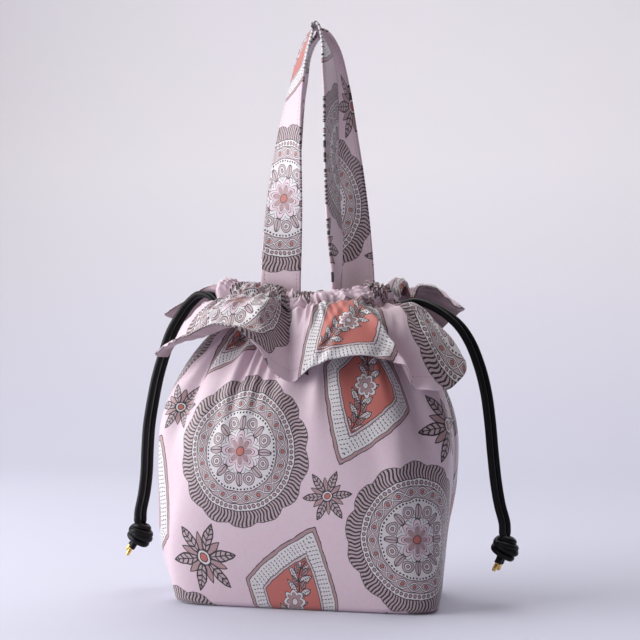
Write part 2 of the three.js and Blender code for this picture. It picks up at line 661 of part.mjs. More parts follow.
const bag = new THREE.Group();
const frontFlap = {
  drops: FRONT_HEM_DROPS, folds: FRONT_FLAP_FOLDS, arch: FRONT_ARCH, curl: FRONT_CURL,
};
const backFlap = {
  drops: BACK_HEM_DROPS, folds: BACK_FLAP_FOLDS, arch: BACK_ARCH, curl: BACK_CURL,
};
const frontHalf = halfBag('front', FRONT_BODY_FOLDS, frontFlap, FRONT_LOOP, ['left', 'right']);
const backHalf = halfBag('back', BACK_BODY_FOLDS, backFlap, BACK_LOOP, ['right', 'left']);
backHalf.rotation.z = Math.PI;
bag.add(
  frontHalf,
  backHalf,
  drawcord('left', -1, LEFT_ROUTE, LEFT_KNOT_CENTRE, LEFT_TIP_DIRECTION),
  drawcord('right', 1, RIGHT_ROUTE, RIGHT_KNOT_CENTRE, RIGHT_TIP_DIRECTION),
);

export default bag;
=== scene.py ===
"""A gathered drawstring bag of printed satin, with turned-down ruffle flaps, two strap handles and two black
drawcords tied in knots. Metres, +Z up, front towards -Y."""

import math

import bpy
import numpy as np
from mathutils import Matrix, Vector


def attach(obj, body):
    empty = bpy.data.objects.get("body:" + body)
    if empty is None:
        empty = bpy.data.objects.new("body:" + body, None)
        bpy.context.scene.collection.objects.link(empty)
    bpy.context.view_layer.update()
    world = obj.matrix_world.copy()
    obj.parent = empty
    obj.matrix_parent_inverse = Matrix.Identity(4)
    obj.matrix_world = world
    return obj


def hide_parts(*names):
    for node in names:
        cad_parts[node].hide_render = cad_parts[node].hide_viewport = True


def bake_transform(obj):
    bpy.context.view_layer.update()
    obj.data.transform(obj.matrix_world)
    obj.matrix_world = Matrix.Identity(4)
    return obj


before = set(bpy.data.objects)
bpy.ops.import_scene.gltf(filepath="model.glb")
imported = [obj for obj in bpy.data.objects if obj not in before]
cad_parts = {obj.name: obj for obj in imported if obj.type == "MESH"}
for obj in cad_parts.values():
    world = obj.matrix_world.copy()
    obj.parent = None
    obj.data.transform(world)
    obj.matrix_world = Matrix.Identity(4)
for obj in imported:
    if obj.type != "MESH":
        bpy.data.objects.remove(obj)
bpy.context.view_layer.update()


# Body: a front and a back panel of printed satin, each a wall and half of the boxed base. They are sewn
# together at the sides and under the base, and drawn into gathers where they meet the casing.

BASE_HALF = (0.097, 0.052)
BELLY_HALF = (0.112, 0.066)
NECK_HALF = (0.062, 0.032)
BELLY_HEIGHT = 0.115
NECK_HEIGHT = 0.206
NECK_SQUARENESS = 2.6
BASE_SQUARENESS = 8.0
BASE_EDGE = 0.006
BELLY_SHIFT = -0.0035
BASE_SHIFT = 0.0065
LEFT_PRESS = 0.0045
PRESS_HEIGHT = 0.095
CORNER_DRAW = 0.0090
PANEL_WIDTH = 0.33
GATHERS = 17
GATHER_START = 0.118
GATHER_DEPTH = 0.0026
DRAPE_WAVES = 6
DRAPE_DEPTH = 0.0010
SEAM_DIP = 0.0012
SEAM_WIDTH = 0.007


def run_along(points):
    """The distance from the start of a line to each of its points."""
    return np.concatenate(([0.0], np.cumsum(np.linalg.norm(np.diff(points, axis=0), axis=1))))


def read_along(at, run, values):
    """Rows of values read at distances along a line, between the rows on either side."""
    return np.stack([np.interp(at, run, column) for column in values.T], axis=1)


def half_outline(half_width, half_depth, squareness, shares, gap=0.0):
    """The front half of the superellipse |x/a|^n + |y/b|^n = 1, cut where y rises above minus half the gap,
    read at shares of its length from its left end to its right end."""
    turn = np.linspace(math.pi, 2 * math.pi, 1601)
    x = half_width * np.sign(np.cos(turn)) * np.abs(np.cos(turn)) ** (2 / squareness)
    y = -half_depth * np.abs(np.sin(turn)) ** (2 / squareness)
    kept = np.stack([x, y], axis=1)[y <= -gap / 2]
    length = run_along(kept)
    return read_along(shares * length[-1], length, kept).T


def level_row(half_width, half_depth, squareness, height, shares):
    """The points of one level half outline, at shares of its length."""
    x, y = half_outline(half_width, half_depth, squareness, shares)
    return np.stack([x, y, np.full_like(x, height)], axis=1)


def ease(value, low, high):
    """The smooth step 3t^2 - 2t^3, with t the place of the value between low and high."""
    t = np.clip((value - low) / (high - low), 0.0, 1.0)
    return t * t * (3 - 2 * t)


def bell(value, middle, reach):
    """The bell curve exp(-u^2), with u the distance from the middle, counted in reaches."""
    return np.exp(-(((value - middle) / reach) ** 2))


def wall_section(height):
    """Half width, half depth and squareness of the wall: it swells from the base to the belly as
    sin(t)^0.8 and draws in from the belly to the neck as cos(t)^0.75, with t from 0 to a quarter turn."""
    above = np.clip((height - BELLY_HEIGHT) / (NECK_HEIGHT - BELLY_HEIGHT), 0.0, 1.0)
    below = np.clip(height / BELLY_HEIGHT, 0.0, 1.0)
    swell_up = np.sin(below * math.pi / 2) ** 0.8
    swell_in = np.cos(above * math.pi / 2).clip(0.0) ** 0.75
    half_width, half_depth = (
        np.where(above > 0, neck + (belly - neck) * swell_in, base + (belly - base) * swell_up)
        for base, belly, neck in zip(BASE_HALF, BELLY_HALF, NECK_HALF)
    )
    boxed = (1 - height / NECK_HEIGHT) ** 3
    return half_width, half_depth, NECK_SQUARENESS + (BASE_SQUARENESS - NECK_SQUARENESS) * boxed


def grid_normals(points):
    """Unit normals of a grid of points: the cross product of its steps along the rows and the columns."""
    across = np.gradient(points, axis=1)
    down = np.gradient(points, axis=0)
    normals = np.cross(down, across)
    return normals / np.linalg.norm(normals, axis=2, keepdims=True).clip(1e-12)


def soft_wave(shares, count, wander, phase):
    """A row of folds, cos of 2 pi n s, whose spacing wanders by two slower sines."""
    drift = wander * (np.sin(2 * math.pi * 2.3 * shares + phase) + 0.6 * np.sin(2 * math.pi * 5.1 * shares))
    return np.cos(2 * math.pi * (count * shares + drift) + phase)


def cloth_spots(across, rise):
    """A grid's cloth coordinates: each point's place across the cloth, and each row's rise."""
    return np.stack(np.broadcast_arrays(across, rise[:, None]), axis=2)


def body_grid(folds, phase, columns=260):
    """The front half's wall, rounded edge and half base as one grid from the neck down, with its cloth
    coordinates. Gathers fade below the neck, and each fold is a bell-shaped ridge or groove along a
    slanted line."""
    shares = np.linspace(0.0, 1.0, columns + 1)
    heights = NECK_HEIGHT - (NECK_HEIGHT - BASE_EDGE) * np.linspace(0.0, 1.0, 151) ** 1.1
    rows = [level_row(*wall_section(height), height, shares) for height in heights]
    half_width, half_depth, squareness = wall_section(BASE_EDGE)
    edge = np.linspace(0.0, math.pi / 2, 11)[1:]
    for angle in edge:
        inset = BASE_EDGE * (1 - math.cos(angle))
        height = BASE_EDGE * (1 - math.sin(angle))
        rows.append(level_row(half_width - inset, half_depth - inset, squareness, height, shares))
    rim = rows[-1]
    seam = np.stack([np.linspace(rim[0, 0], rim[-1, 0], columns + 1), 0 * shares, rim[:, 2]], axis=1)
    rows += [rim + (seam - rim) * share for share in np.linspace(0.0, 1.0, 13)[1:]]
    points = np.stack(rows)
    height = points[:, :, 2]
    side = np.broadcast_to(shares, height.shape)
    gathered = ease(height, GATHER_START, NECK_HEIGHT) ** 1.6
    push = GATHER_DEPTH * gathered * (soft_wave(side, GATHERS, 0.5, phase) - 0.4)
    slanted = side + 0.05 * height / NECK_HEIGHT
    push += DRAPE_DEPTH * ease(height, 0.07, 0.17) * soft_wave(slanted, DRAPE_WAVES, 0.4, phase)
    for top_share, foot_share, width, depth, foot, top in folds:
        line = foot_share + (top_share - foot_share) * (height - foot) / (top - foot)
        window = ease(height, foot - 0.012, foot + 0.03) * (1 - ease(height, top - 0.03, top + 0.012))
        push += depth * window * bell(side, line, width)
    at_seam = np.minimum(side, 1 - side)
    push *= ease(at_seam, 0.0, 0.03)
    push -= SEAM_DIP * bell(at_seam, 0.0, SEAM_WIDTH)
    push[len(heights) + len(edge) - 2:] = 0.0
    points = points + grid_normals(points) * push[:, :, None]
    points[:, 0, 1] = points[:, -1, 1] = 0.0
    points[:, :, 2] = points[:, :, 2].clip(0.0)
    return points, cloth_spots(PANEL_WIDTH * (side - 0.5), -run_along(points[:, columns // 2]))


def placed(half, points):
    """A half of the bag where it belongs: the front half as it is, and the back half turned half round the
    upright axis."""
    return points if half == "front" else points * np.array([-1.0, -1.0, 1.0])


def leaned(points):
    """The belly stands a little to the left of the neck, and the base a little to its right. The left side is
    pressed in at half height, and the base is drawn in at its right back corner."""
    x, y, height = points.transpose(2, 0, 1)
    lean = BELLY_SHIFT * (1 - ease(height, 0.12, NECK_HEIGHT)) + BASE_SHIFT * (1 - ease(height, 0.0, 0.06))
    lean = lean + LEFT_PRESS * ease(-x, 0.05, 0.10) * bell(height, PRESS_HEIGHT, 0.042)
    corner = ease(x, 0.04, 0.09) * ease(y, -0.035, 0.03) * (1 - ease(height, 0.0, BELLY_HEIGHT))
    return points + (lean - CORNER_DRAW * corner)[:, :, None] * np.array([1.0, 0.0, 0.0])


def new_piece(name, places, faces, material, spots=None, smooth=True):
    """A mesh of one material in the scene, at the origin. The spots are the places' cloth coordinates."""
    mesh = bpy.data.meshes.new(name)
    mesh.from_pydata(places, [], faces)
    if spots is not None:
        order = np.empty(len(mesh.loops), dtype=np.int32)
        mesh.loops.foreach_get("vertex_index", order)
        layer = mesh.uv_layers.new(name="cloth")
        layer.data.foreach_set("uv", spots[order].astype(np.float32).ravel())
    if smooth:
        mesh.shade_smooth()
    mesh.materials.append(material)
    piece = bpy.data.objects.new(name, mesh)
    bpy.context.scene.collection.objects.link(piece)
    return piece


def grid_piece(name, points, cloth, material, thickness=0.0):
    """A grid of points as a smooth mesh with cloth coordinates. A thickness adds a second face behind the
    first, along the normals, and a rim between the two."""
    rows, columns = points.shape[:2]
    index = np.arange(rows * columns).reshape(rows, columns)
    faces = np.stack([index[:-1, :-1], index[1:, :-1], index[1:, 1:], index[:-1, 1:]], axis=2).reshape(-1, 4)
    places, spots = points.reshape(-1, 3), cloth.reshape(-1, 2)
    if thickness:
        behind = (points - grid_normals(points) * thickness).reshape(-1, 3)
        rim = np.concatenate([index[0], index[1:, -1], index[-1, -2::-1], index[-2:0:-1, 0]])
        after = np.roll(rim, -1)
        shift = rows * columns
        edge = np.stack([rim, after, after + shift, rim + shift], axis=1)
        faces = np.concatenate([faces, faces[:, ::-1] + shift, edge])
        places = np.concatenate([places, behind])
        spots = np.concatenate([spots, spots])
    return new_piece(name, places.tolist(), faces.tolist(), material, spots)


def new_material(name):
    """A new material, its node tree and its shader."""
    material = bpy.data.materials.new(name)
    material.use_nodes = True
    return material, material.node_tree, material.node_tree.nodes["Principled BSDF"]


def set_inputs(tree, node, values):
    """Fills a node's inputs: another node's output is linked, and any other value is set on the socket."""
    for key, value in values.items():
        if isinstance(value, bpy.types.NodeSocket):
            tree.links.new(value, node.inputs[key])
        else:
            node.inputs[key].default_value = value


def add_node(tree, kind, values, **settings):
    """A new shader node with its settings and its inputs."""
    node = tree.nodes.new(kind)
    for key, value in settings.items():
        setattr(node, key, value)
    set_inputs(tree, node, values)
    return node


class Ink:
    """One number over the cloth, the output of a shader node. Arithmetic on it adds Math nodes."""

    def __init__(self, tree, socket):
        self.tree = tree
        self.socket = socket

    def step(self, operation, *others):
        numbers = (self, *others)
        values = {slot: item.socket if isinstance(item, Ink) else item for slot, item in enumerate(numbers)}
        return Ink(self.tree, add_node(self.tree, "ShaderNodeMath", values, operation=operation).outputs[0])

    def __add__(self, other):
        return self.step("ADD", other)

    def __sub__(self, other):
        return self.step("SUBTRACT", other)

    def __mul__(self, other):
        return self.step("MULTIPLY", other)

    def __truediv__(self, other):
        return self.step("DIVIDE", other)

    def __abs__(self):
        return self.step("ABSOLUTE")

    def near(self, middle, reach):
        """1 where the number lies within the reach of the middle, else 0."""
        return self.step("COMPARE", middle, reach)

    def below(self, limit):
        return self.step("LESS_THAN", limit)

    def above(self, limit):
        return self.step("GREATER_THAN", limit)

    def repeat(self, length):
        """The number's offset from the middle of the repeat that it falls in."""
        return (self / length).step("FRACT") * length - length / 2

    def sine(self):
        return self.step("SINE")

    def length(self, other):
        """The distance, the root of the sum of two squares."""
        return (self * self + other * other).step("SQRT")

    def angle(self, across):
        """The angle whose tangent is this number over the one across."""
        return self.step("ARCTAN2", across)


def tinted(red, green, blue):
    """A colour written in 0 to 255 screen values, as the linear values that shaders take."""
    screen = np.array([red, green, blue]) / 255
    linear = np.where(screen <= 0.04045, screen / 12.92, ((screen + 0.055) / 1.055) ** 2.4)
    return (*linear.tolist(), 1.0)


PINK = tinted(225, 203, 214)
ROSE = tinted(176, 145, 148)
TERRACOTTA = tinted(196, 114, 106)
CREAM = tinted(222, 218, 221)
GREY_ROSE = tinted(190, 170, 175)
CHARCOAL = tinted(62, 53, 58)
MEDALLION_REPEAT = (150.0, 172.0)
PLAIT_RADIUS = 34.2
PANEL_HALF = (41.0, 62.0)
LEAF_PITCH = 10.5


class Print:
    """A cloth's colour as it is printed. Each mask lays one ink over the colours before it."""

    def __init__(self, tree, ground):
        self.tree = tree
        self.colour = ground

    def paint(self, mask, ink):
        values = {"Factor": mask.socket, 6: self.colour, 7: ink}
        self.colour = add_node(self.tree, "ShaderNodeMix", values, data_type="RGBA").outputs[2]

    def outlined(self, distance, edge, line, ink):
        """The ink inside the edge, with a charcoal line round it."""
        self.paint(distance.below(edge), CHARCOAL)
        self.paint(distance.below(edge - line), ink)


def print_medallion(layers, x, y):
    """A medallion about x = y = 0, in mm: an engraved fringe, a beaded ring, a plaited ring, and a flower
    among leaves. Its outlines are bands of the radius, waved by the sine of the angle."""
    radius = x.length(y)
    angle = y.angle(x)

    def dots(count, ring):
        return (angle.repeat(math.pi / count) * radius).length(radius - ring)

    fringe = radius - abs((angle * 7.0).sine()) * 3.0
    strokes = (angle * 112.0 + (radius * 0.5).sine() * 1.7).sine()
    layers.outlined(fringe, 52.6, 0.5, GREY_ROSE)
    layers.paint(fringe.below(52.0) * strokes.above(0.1), CHARCOAL)
    layers.outlined(radius, 43.8, 0.6, CREAM)
    layers.outlined(dots(34, 40.9), 1.5, 0.55, ROSE)
    layers.outlined(radius, 38.8, 0.6, GREY_ROSE)
    swing = (angle * 11.0).sine() * 3.0
    for half_width, ink in ((0.95, CHARCOAL), (0.45, CREAM)):
        inner = (radius - PLAIT_RADIUS - swing).near(0.0, half_width)
        outer = (radius - PLAIT_RADIUS + swing).near(0.0, half_width)
        layers.paint(inner.step("MAXIMUM", outer), ink)
    layers.outlined(dots(11, PLAIT_RADIUS), 1.5, 0.5, TERRACOTTA)
    layers.outlined(radius, 29.8, 0.6, CREAM)
    layers.paint(dots(32, 27.8).below(0.75), CHARCOAL)
    spoke = angle.repeat(math.pi / 4) * radius
    layers.outlined((spoke / 2.7).length((radius - 20.2) / 5.6), 1.0, 0.18, GREY_ROSE)
    layers.paint(spoke.near(0.0, 0.3) * radius.near(17.0, 8.0), CHARCOAL)
    between = (angle + math.pi / 8).repeat(math.pi / 4) * radius
    bud = between.length(radius - 21.0)
    for edge, line, ink in ((4.7, 0.5, GREY_ROSE), (3.0, 0.45, CREAM), (1.5, 0.45, ROSE)):
        layers.outlined(bud, edge, line, ink)
    lace = radius - abs((angle * 8.0).sine()) * 3.2
    layers.paint(lace.near(13.2, 0.3), CHARCOAL)
    petal = radius - abs((angle * 4.0).sine()) * 6.4
    layers.outlined(petal, 9.2, 0.7, PINK)
    layers.paint(petal.near(5.4, 0.3), CHARCOAL)
    layers.outlined(petal, 3.6, 0.5, ROSE)
    layers.outlined(radius, 3.3, 0.6, TERRACOTTA)


def pointed_leaf(beside, reach, half_width, half_length):
    """Below 1 inside a leaf with two pointed ends: |u| / w + (v / l)^2."""
    span = reach / half_length
    return abs(beside) / half_width + span * span


def print_panel(layers, left, up):
    """A pointed panel about the origin, in mm, inside (x/a)^1.12 + (y/b)^1.12 = 1: a rose edge, a cream band
    with broken stripes, a beaded line, and a branch of paired leaves with a flower on a terracotta field."""
    flat, high = abs(left), abs(up)
    panel = (flat / PANEL_HALF[0]).step("POWER", 1.12) + (high / PANEL_HALF[1]).step("POWER", 1.12)
    along = high - flat * 0.66
    layers.outlined(panel, 1.0, 0.020, ROSE)
    layers.outlined(panel, 0.92, 0.016, CREAM)
    stripes = along.repeat(3.6).near(0.0, 0.42) * (panel * 92.0).sine().above(-0.35)
    layers.paint(stripes * panel.near(0.755, 0.125), CHARCOAL)
    layers.outlined(panel, 0.625, 0.016, GREY_ROSE)
    layers.paint(along.repeat(2.2).near(0.0, 0.55) * panel.near(0.5865, 0.010), CREAM)
    layers.outlined(panel, 0.565, 0.016, TERRACOTTA)
    field = panel.below(0.535)
    stem = left - (up * 0.21).sine() * 1.3
    layers.paint(abs(stem).below(0.55) * field, CHARCOAL)
    for climb, lean, half_width, half_length, ink in (
        (LEAF_PITCH / 2, 1.0, 2.7, 6.6, CREAM),
        (0.0, 0.55, 1.7, 4.4, ROSE),
    ):
        step = (up + climb).repeat(LEAF_PITCH)
        beside = abs(stem) - half_length * 0.75
        slant, reach = (beside - step * lean) * 0.7071, (beside + step) * 0.7071
        frond = pointed_leaf(slant, reach, half_width, half_length)
        layers.paint(frond.below(1.0) * field, CHARCOAL)
        layers.paint(frond.below(0.74) * field, ink)
        ribs = abs(slant).below(0.2) + (reach * 3.4 + abs(slant) * 2.4).sine().above(0.72)
        layers.paint(ribs * frond.below(0.78) * field, CHARCOAL)
    bloom = left.length(up) - abs((up.angle(left) * 4.0).sine()) * 2.6
    layers.outlined(bloom, 7.2, 0.6, CREAM)
    layers.outlined(bloom, 4.6, 0.5, ROSE)
    layers.outlined(left.length(up), 2.6, 0.5, CREAM)


def print_spray(layers, x, y, size):
    """A spray about x = y = 0, scaled by its size: six veined leaves and six short ones round a ringed
    dot."""
    spread = x.length(y) / size
    heading = y.angle(x)
    short = (heading + math.pi / 6).repeat(math.pi / 3) * spread
    layers.outlined(pointed_leaf(short, spread - 6.4, 1.7, 4.6), 1.0, 0.3, ROSE)
    blade = heading.repeat(math.pi / 3) * spread
    tip = pointed_leaf(blade, spread - 8.6, 2.5, 7.0)
    layers.outlined(tip, 1.0, 0.26, GREY_ROSE)
    veins = (spread * 2.6 - abs(blade) * 2.2).sine().above(0.55) + blade.near(0.0, 0.22)
    layers.paint(veins * tip.below(0.76), CHARCOAL)
    layers.outlined(spread, 3.2, 0.5, CREAM)
    layers.outlined(spread, 1.9, 0.4, TERRACOTTA)


def cloth_millimetres(tree, turn=0.0, shift=(0.0, 0.0)):
    """The cloth coordinates in millimetres, turned and then shifted."""
    cloth = add_node(tree, "ShaderNodeUVMap", {}, uv_map="cloth")
    return add_node(tree, "ShaderNodeMapping", {
        "Vector": cloth.outputs["UV"], "Location": (*shift, 0.0), "Rotation": (0.0, 0.0, turn),
        "Scale": (1000.0, 1000.0, 1.0),
    }).outputs["Vector"]


def add_satin(tree, shader, cloth):
    """Satin's finish: a soft gloss with sheen, and a fine slanted twill of 1.4 mm under a slow slub."""
    twill = add_node(
        tree, "ShaderNodeTexWave", {"Vector": cloth, "Scale": 0.32, "Distortion": 0.6},
        bands_direction="DIAGONAL",
    )
    slub = add_node(tree, "ShaderNodeTexNoise", {"Vector": cloth, "Scale": 0.22, "Detail": 5.0})
    heights = add_node(
        tree, "ShaderNodeMix", {"Factor": 0.7, "A": twill.outputs["Fac"], "B": slub.outputs["Fac"]},
    )
    bump = add_node(
        tree, "ShaderNodeBump", {"Strength": 0.25, "Distance": 0.0006, "Height": heights.outputs["Result"]},
    )
    set_inputs(tree, shader, {
        "Roughness": 0.46, "Specular IOR Level": 0.42, "Sheen Weight": 0.22, "Sheen Roughness": 0.4,
        "Normal": bump.outputs["Normal"],
    })


def printed_satin(name, turn, centre):
    """Satin printed with round medallions on a repeat of 150 by 172 mm, pointed panels half-way between them
    and leaf sprays in the gaps. The repeat is turned, and a medallion is set on the centre that is given, in
    millimetres on the cloth. A slow tremor draws the lines as if by hand."""
    material, tree, shader = new_material(name)
    wide, tall = MEDALLION_REPEAT
    sine, cosine = math.sin(turn), math.cos(turn)
    cloth = cloth_millimetres(tree, turn, (
        wide / 2 - (centre[0] * cosine - centre[1] * sine),
        tall / 2 - (centre[0] * sine + centre[1] * cosine),
    ))
    tremor = add_node(tree, "ShaderNodeTexNoise", {"Vector": cloth, "Scale": 0.12, "Detail": 2.0})
    drawn = add_node(
        tree, "ShaderNodeVectorMath", {0: tremor.outputs["Color"], 1: (2.6, 2.6, 0.0), 2: cloth},
        operation="MULTIPLY_ADD",
    )
    split = add_node(tree, "ShaderNodeSeparateXYZ", {"Vector": drawn.outputs["Vector"]})
    across, along = Ink(tree, split.outputs["X"]), Ink(tree, split.outputs["Y"])
    x, y = across.repeat(wide), along.repeat(tall)
    left, up = (across + wide / 2).repeat(wide), (along + tall / 2).repeat(tall)
    layers = Print(tree, PINK)
    print_medallion(layers, x, y)
    print_panel(layers, left, up)
    print_spray(layers, left, y, 1.25)
    print_spray(layers, x, up, 1.8)
    fade = add_node(tree, "ShaderNodeTexNoise", {"Vector": cloth, "Scale": 0.35, "Detail": 4.0})
    worn = add_node(
        tree, "ShaderNodeMix", {"Factor": 0.16, 6: layers.colour, 7: fade.outputs["Color"]},
        data_type="RGBA", blend_type="MULTIPLY",
    )
    set_inputs(tree, shader, {"Base Color": worn.outputs[2]})
    add_satin(tree, shader, cloth)
    return material


# Each fold: its share of the width at the top and at the foot, its width and depth, its foot and its top
FRONT_FOLDS = [
    (0.74, 0.77, 0.030, 0.0044, 0.075, 0.188),
    (0.81, 0.84, 0.026, -0.0046, 0.105, 0.190),
    (0.89, 0.90, 0.034, 0.0030, 0.095, 0.178),
    (0.60, 0.62, 0.030, -0.0012, 0.120, 0.192),
    (0.48, 0.45, 0.040, 0.0020, 0.090, 0.190),
    (0.35, 0.31, 0.024, -0.0014, 0.110, 0.190),
    (0.28, 0.26, 0.028, 0.0016, 0.110, 0.188),
    (0.21, 0.20, 0.026, -0.0042, 0.120, 0.182),
    (0.15, 0.14, 0.032, 0.0034, 0.070, 0.184),
    (0.86, 0.80, 0.022, -0.0014, 0.012, 0.080),
    (0.20, 0.15, 0.020, -0.0014, 0.012, 0.085),
]
BACK_FOLDS = [
    (0.18, 0.14, 0.040, 0.0028, 0.065, 0.186),
    (0.26, 0.20, 0.026, -0.0014, 0.085, 0.190),
    (0.45, 0.52, 0.040, 0.0018, 0.090, 0.188),
    (0.66, 0.70, 0.026, -0.0014, 0.080, 0.188),
    (0.76, 0.82, 0.038, 0.0026, 0.065, 0.184),
    (0.84, 0.80, 0.022, -0.0014, 0.012, 0.080),
]
BODY_HALVES = (("front", FRONT_FOLDS, 0.6), ("back", BACK_FOLDS, 2.1))

body_print = printed_satin("body_print", turn=0.42, centre=(-34.0, -100.0))
for name, folds, phase in BODY_HALVES:
    points, cloth = body_grid(folds, phase)
    panel = grid_piece(f"body_{name}_cloth", leaned(placed(name, points)), cloth, body_print)
    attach(panel, "bag")
    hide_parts(f"body_{name}_panel")


# Lining: plain mauve cloth that follows the body from the inside, from the mouth's gathers to the base.
# It is cut and sewn like the body and hangs a little clear of it.

MAUVE = tinted(178, 150, 156)
LINING_DEPTH = 0.0034


def darkened(tone, share):
    """A colour with only a share of its light."""
    return (*(share * part for part in tone[:3]), 1.0)


def tone_ramp(tree, factor, tones, places=(0.0, 1.0)):
    """A colour ramp between two tones that are set at two places of the factor."""
    ramp = add_node(tree, "ShaderNodeValToRGB", {"Fac": factor})
    for element, tone, place in zip(ramp.color_ramp.elements, tones, places):
        element.position = place
        element.color = tone
    return ramp.outputs["Color"]


def plain_cloth(name, tone):
    """One tone of plain cloth, paler and darker in slow patches, with the satin's twill."""
    material, tree, shader = new_material(name)
    cloth = cloth_millimetres(tree)
    patches = add_node(tree, "ShaderNodeTexNoise", {"Vector": cloth, "Scale": 0.06, "Detail": 3.0})
    colour = tone_ramp(tree, patches.outputs["Fac"], (darkened(tone, 0.84), tone), (0.3, 0.7))
    set_inputs(tree, shader, {"Base Color": colour})
    add_satin(tree, shader, cloth)
    return material


def inset_grid(points, depth):
    """A front half's grid moved inwards along its normals. It stays in front of the side seams and closes on
    them."""
    inner = points - grid_normals(points) * depth
    inner[:, 0, 1] = inner[:, -1, 1] = 0.0
    inner[:, :, 1] = np.minimum(inner[:, :, 1], 0.0)
    return inner


lining_cloth = plain_cloth("plain_lining", MAUVE)
for name, folds, phase in BODY_HALVES:
    points, cloth = body_grid(folds, phase, columns=130)
    inner = inset_grid(points, LINING_DEPTH)
    inner[:, :, 2] = inner[:, :, 2].clip(LINING_DEPTH)
    inner = leaned(placed(name, inner))
    lining = grid_piece(f"lining_{name}_cloth", inner[:, ::-1], cloth[:, ::-1], lining_cloth)
    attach(lining, "bag")
    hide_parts(f"lining_{name}_panel")


# Casing: the gathered cord tunnel round the neck, a front and a back half of printed satin. Its inner wall
# is the lip of the mouth, and the drawcords leave it at the two side seams.

# Each outline: half width, half depth, squareness, height and the pleats' strength
CASING_SECTION = [
    (0.0625, 0.0325, 2.6, 0.2050, 0.6), (0.0655, 0.0350, 2.6, 0.2110, 1.0),
    (0.0652, 0.0352, 2.6, 0.2180, 1.1), (0.0625, 0.0330, 2.6, 0.2240, 1.3),
    (0.0560, 0.0285, 2.5, 0.2268, 1.5), (0.0450, 0.0215, 2.4, 0.2262, 1.6),
    (0.0360, 0.0165, 2.4, 0.2235, 1.5), (0.0335, 0.0148, 2.4, 0.2160, 1.2),
    (0.0345, 0.0155, 2.4, 0.2050, 0.9),
]
CASING_PUFFS = 22
CASING_PLEATS = 41
PLEAT_DEPTH = 0.0026
CASING_TOP = 0.05


def uneven_bounds(chance, least, most, count):
    """The bounds of a row of uneven parts, as shares of its length. Each part is drawn between two sizes."""
    bounds = np.concatenate(([0.0], np.cumsum(chance.uniform(least, most, count))))
    return bounds / bounds[-1]


def puff_row(shares, count, seed):
    """Uneven round tufts side by side: the highest of h sqrt(1 - u^2) over the tufts, with u the place across
    a tuft. Sharp creases lie between them."""
    chance = np.random.default_rng(seed)
    bounds = uneven_bounds(chance, 0.6, 1.5, count)
    heights = chance.uniform(0.55, 1.0, count)
    tufts = 0.0
    for low, high, height in zip(bounds, bounds[1:], heights):
        place = (shares - (low + high) / 2) / (0.62 * (high - low))
        tufts = np.maximum(tufts, height * np.sqrt((1 - place * place).clip(0.0)))
    return tufts


def casing_grid(phase, columns=420):
    """The front half's tunnel: its section runs from the outer foot over the top to the inner foot, through
    nine outlines on a Catmull-Rom curve, and pleats of growing depth pull it in between the gathers."""
    shares = np.linspace(0.0, 1.0, columns + 1)
    coarse = np.stack([level_row(*outline, shares) for *outline, _ in CASING_SECTION])
    last = len(CASING_SECTION) - 1
    places = np.linspace(0.0, last, 65)
    whole = np.minimum(places.astype(int), last - 1)
    part = (places - whole)[:, None, None]
    before, after = np.maximum(whole - 1, 0), np.minimum(whole + 2, last)
    p0, p1, p2, p3 = coarse[before], coarse[whole], coarse[whole + 1], coarse[after]
    points = 0.5 * (
        2 * p1 + (p2 - p0) * part + (2 * p0 - 5 * p1 + 4 * p2 - p3) * part**2
        + (3 * p1 - p0 - 3 * p2 + p3) * part**3
    )
    strength = np.interp(places, np.arange(last + 1), [row[-1] for row in CASING_SECTION])[:, None]
    side = np.broadcast_to(shares, points.shape[:2])
    ripple = puff_row(side, CASING_PUFFS, int(10 * phase)) - 0.55
    ripple = ripple + 0.3 * soft_wave(side, CASING_PLEATS, 0.5, phase + 1.3)
    ripple = ripple * ease(np.minimum(side, 1 - side), 0.0, 0.02)
    points = inset_grid(points, (PLEAT_DEPTH * strength * ripple)[:, :, None])
    rise = CASING_TOP - run_along(points[:, columns // 2])
    return points, cloth_spots(PANEL_WIDTH * (side - 0.5), rise)


casing_print = printed_satin("casing_print", turn=0.42, centre=(-34.0, 30.0))
for name, phase in (("front", 0.4), ("back", 1.9)):
    points, cloth = casing_grid(phase)
    casing = grid_piece(f"{name}_casing_cloth", placed(name, points)[:, ::-1], cloth[:, ::-1], casing_print)
    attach(casing, "bag")
    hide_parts(f"{name}_casing")


# Ruffle flaps: the bag's faced top edge, printed outside and plain underneath, turned down over the casing.
# They puff up in small gathers along the root and fall in a few deep folds to a stitched hem.

RUFFLE_ROOT = 0.22575
ROOT_OUTLINE = (0.060, 0.030, 2.6)
ROOT_GAP = 0.032
HEM_OUTLINE = (0.117, 0.070, 2.2)
HEM_GAP = 0.028
ROOT_PUFF = 0.006
FLAP_WIDTH = 0.30
FLAP_TOP = 0.08
TUFTS = 9
TUFT_HEIGHT = 0.0115
CRUMPLE_DEPTH = 0.0013
STREAK_DEPTH = 0.0017
FLAP_WAVE = 0.0007
NECK_DIP = 0.0026
SATIN_THICKNESS = 0.0005
FACING_DEPTH = 0.00105
HEM_ALLOWANCE = 8
HEM_STITCH = (0.0028, 0.0020, 0.0005, 0.00028)

# The hem's drop below the root in millimetres, at even shares from the left end to the right end
FRONT_HEM = [
    45.5, 45.2, 44.0, 41.6, 38.6, 35.1, 30.6, 26.5, 25.0, 26.5, 39.0, 54.5, 58.5, 52.5, 48.5, 45.6, 44.5,
    45.7, 49.3, 56.9, 66.1, 69.8, 69.0, 59.8, 47.0,
]
BACK_HEM = [
    10.0, 11.0, 14.0, 20.0, 28.0, 36.0, 44.0, 50.0, 55.0, 58.0, 59.0, 57.0, 53.0, 55.0, 58.0, 60.0, 58.0,
    54.0, 48.0, 40.0, 31.0, 24.0, 19.0, 16.0, 14.0,
]

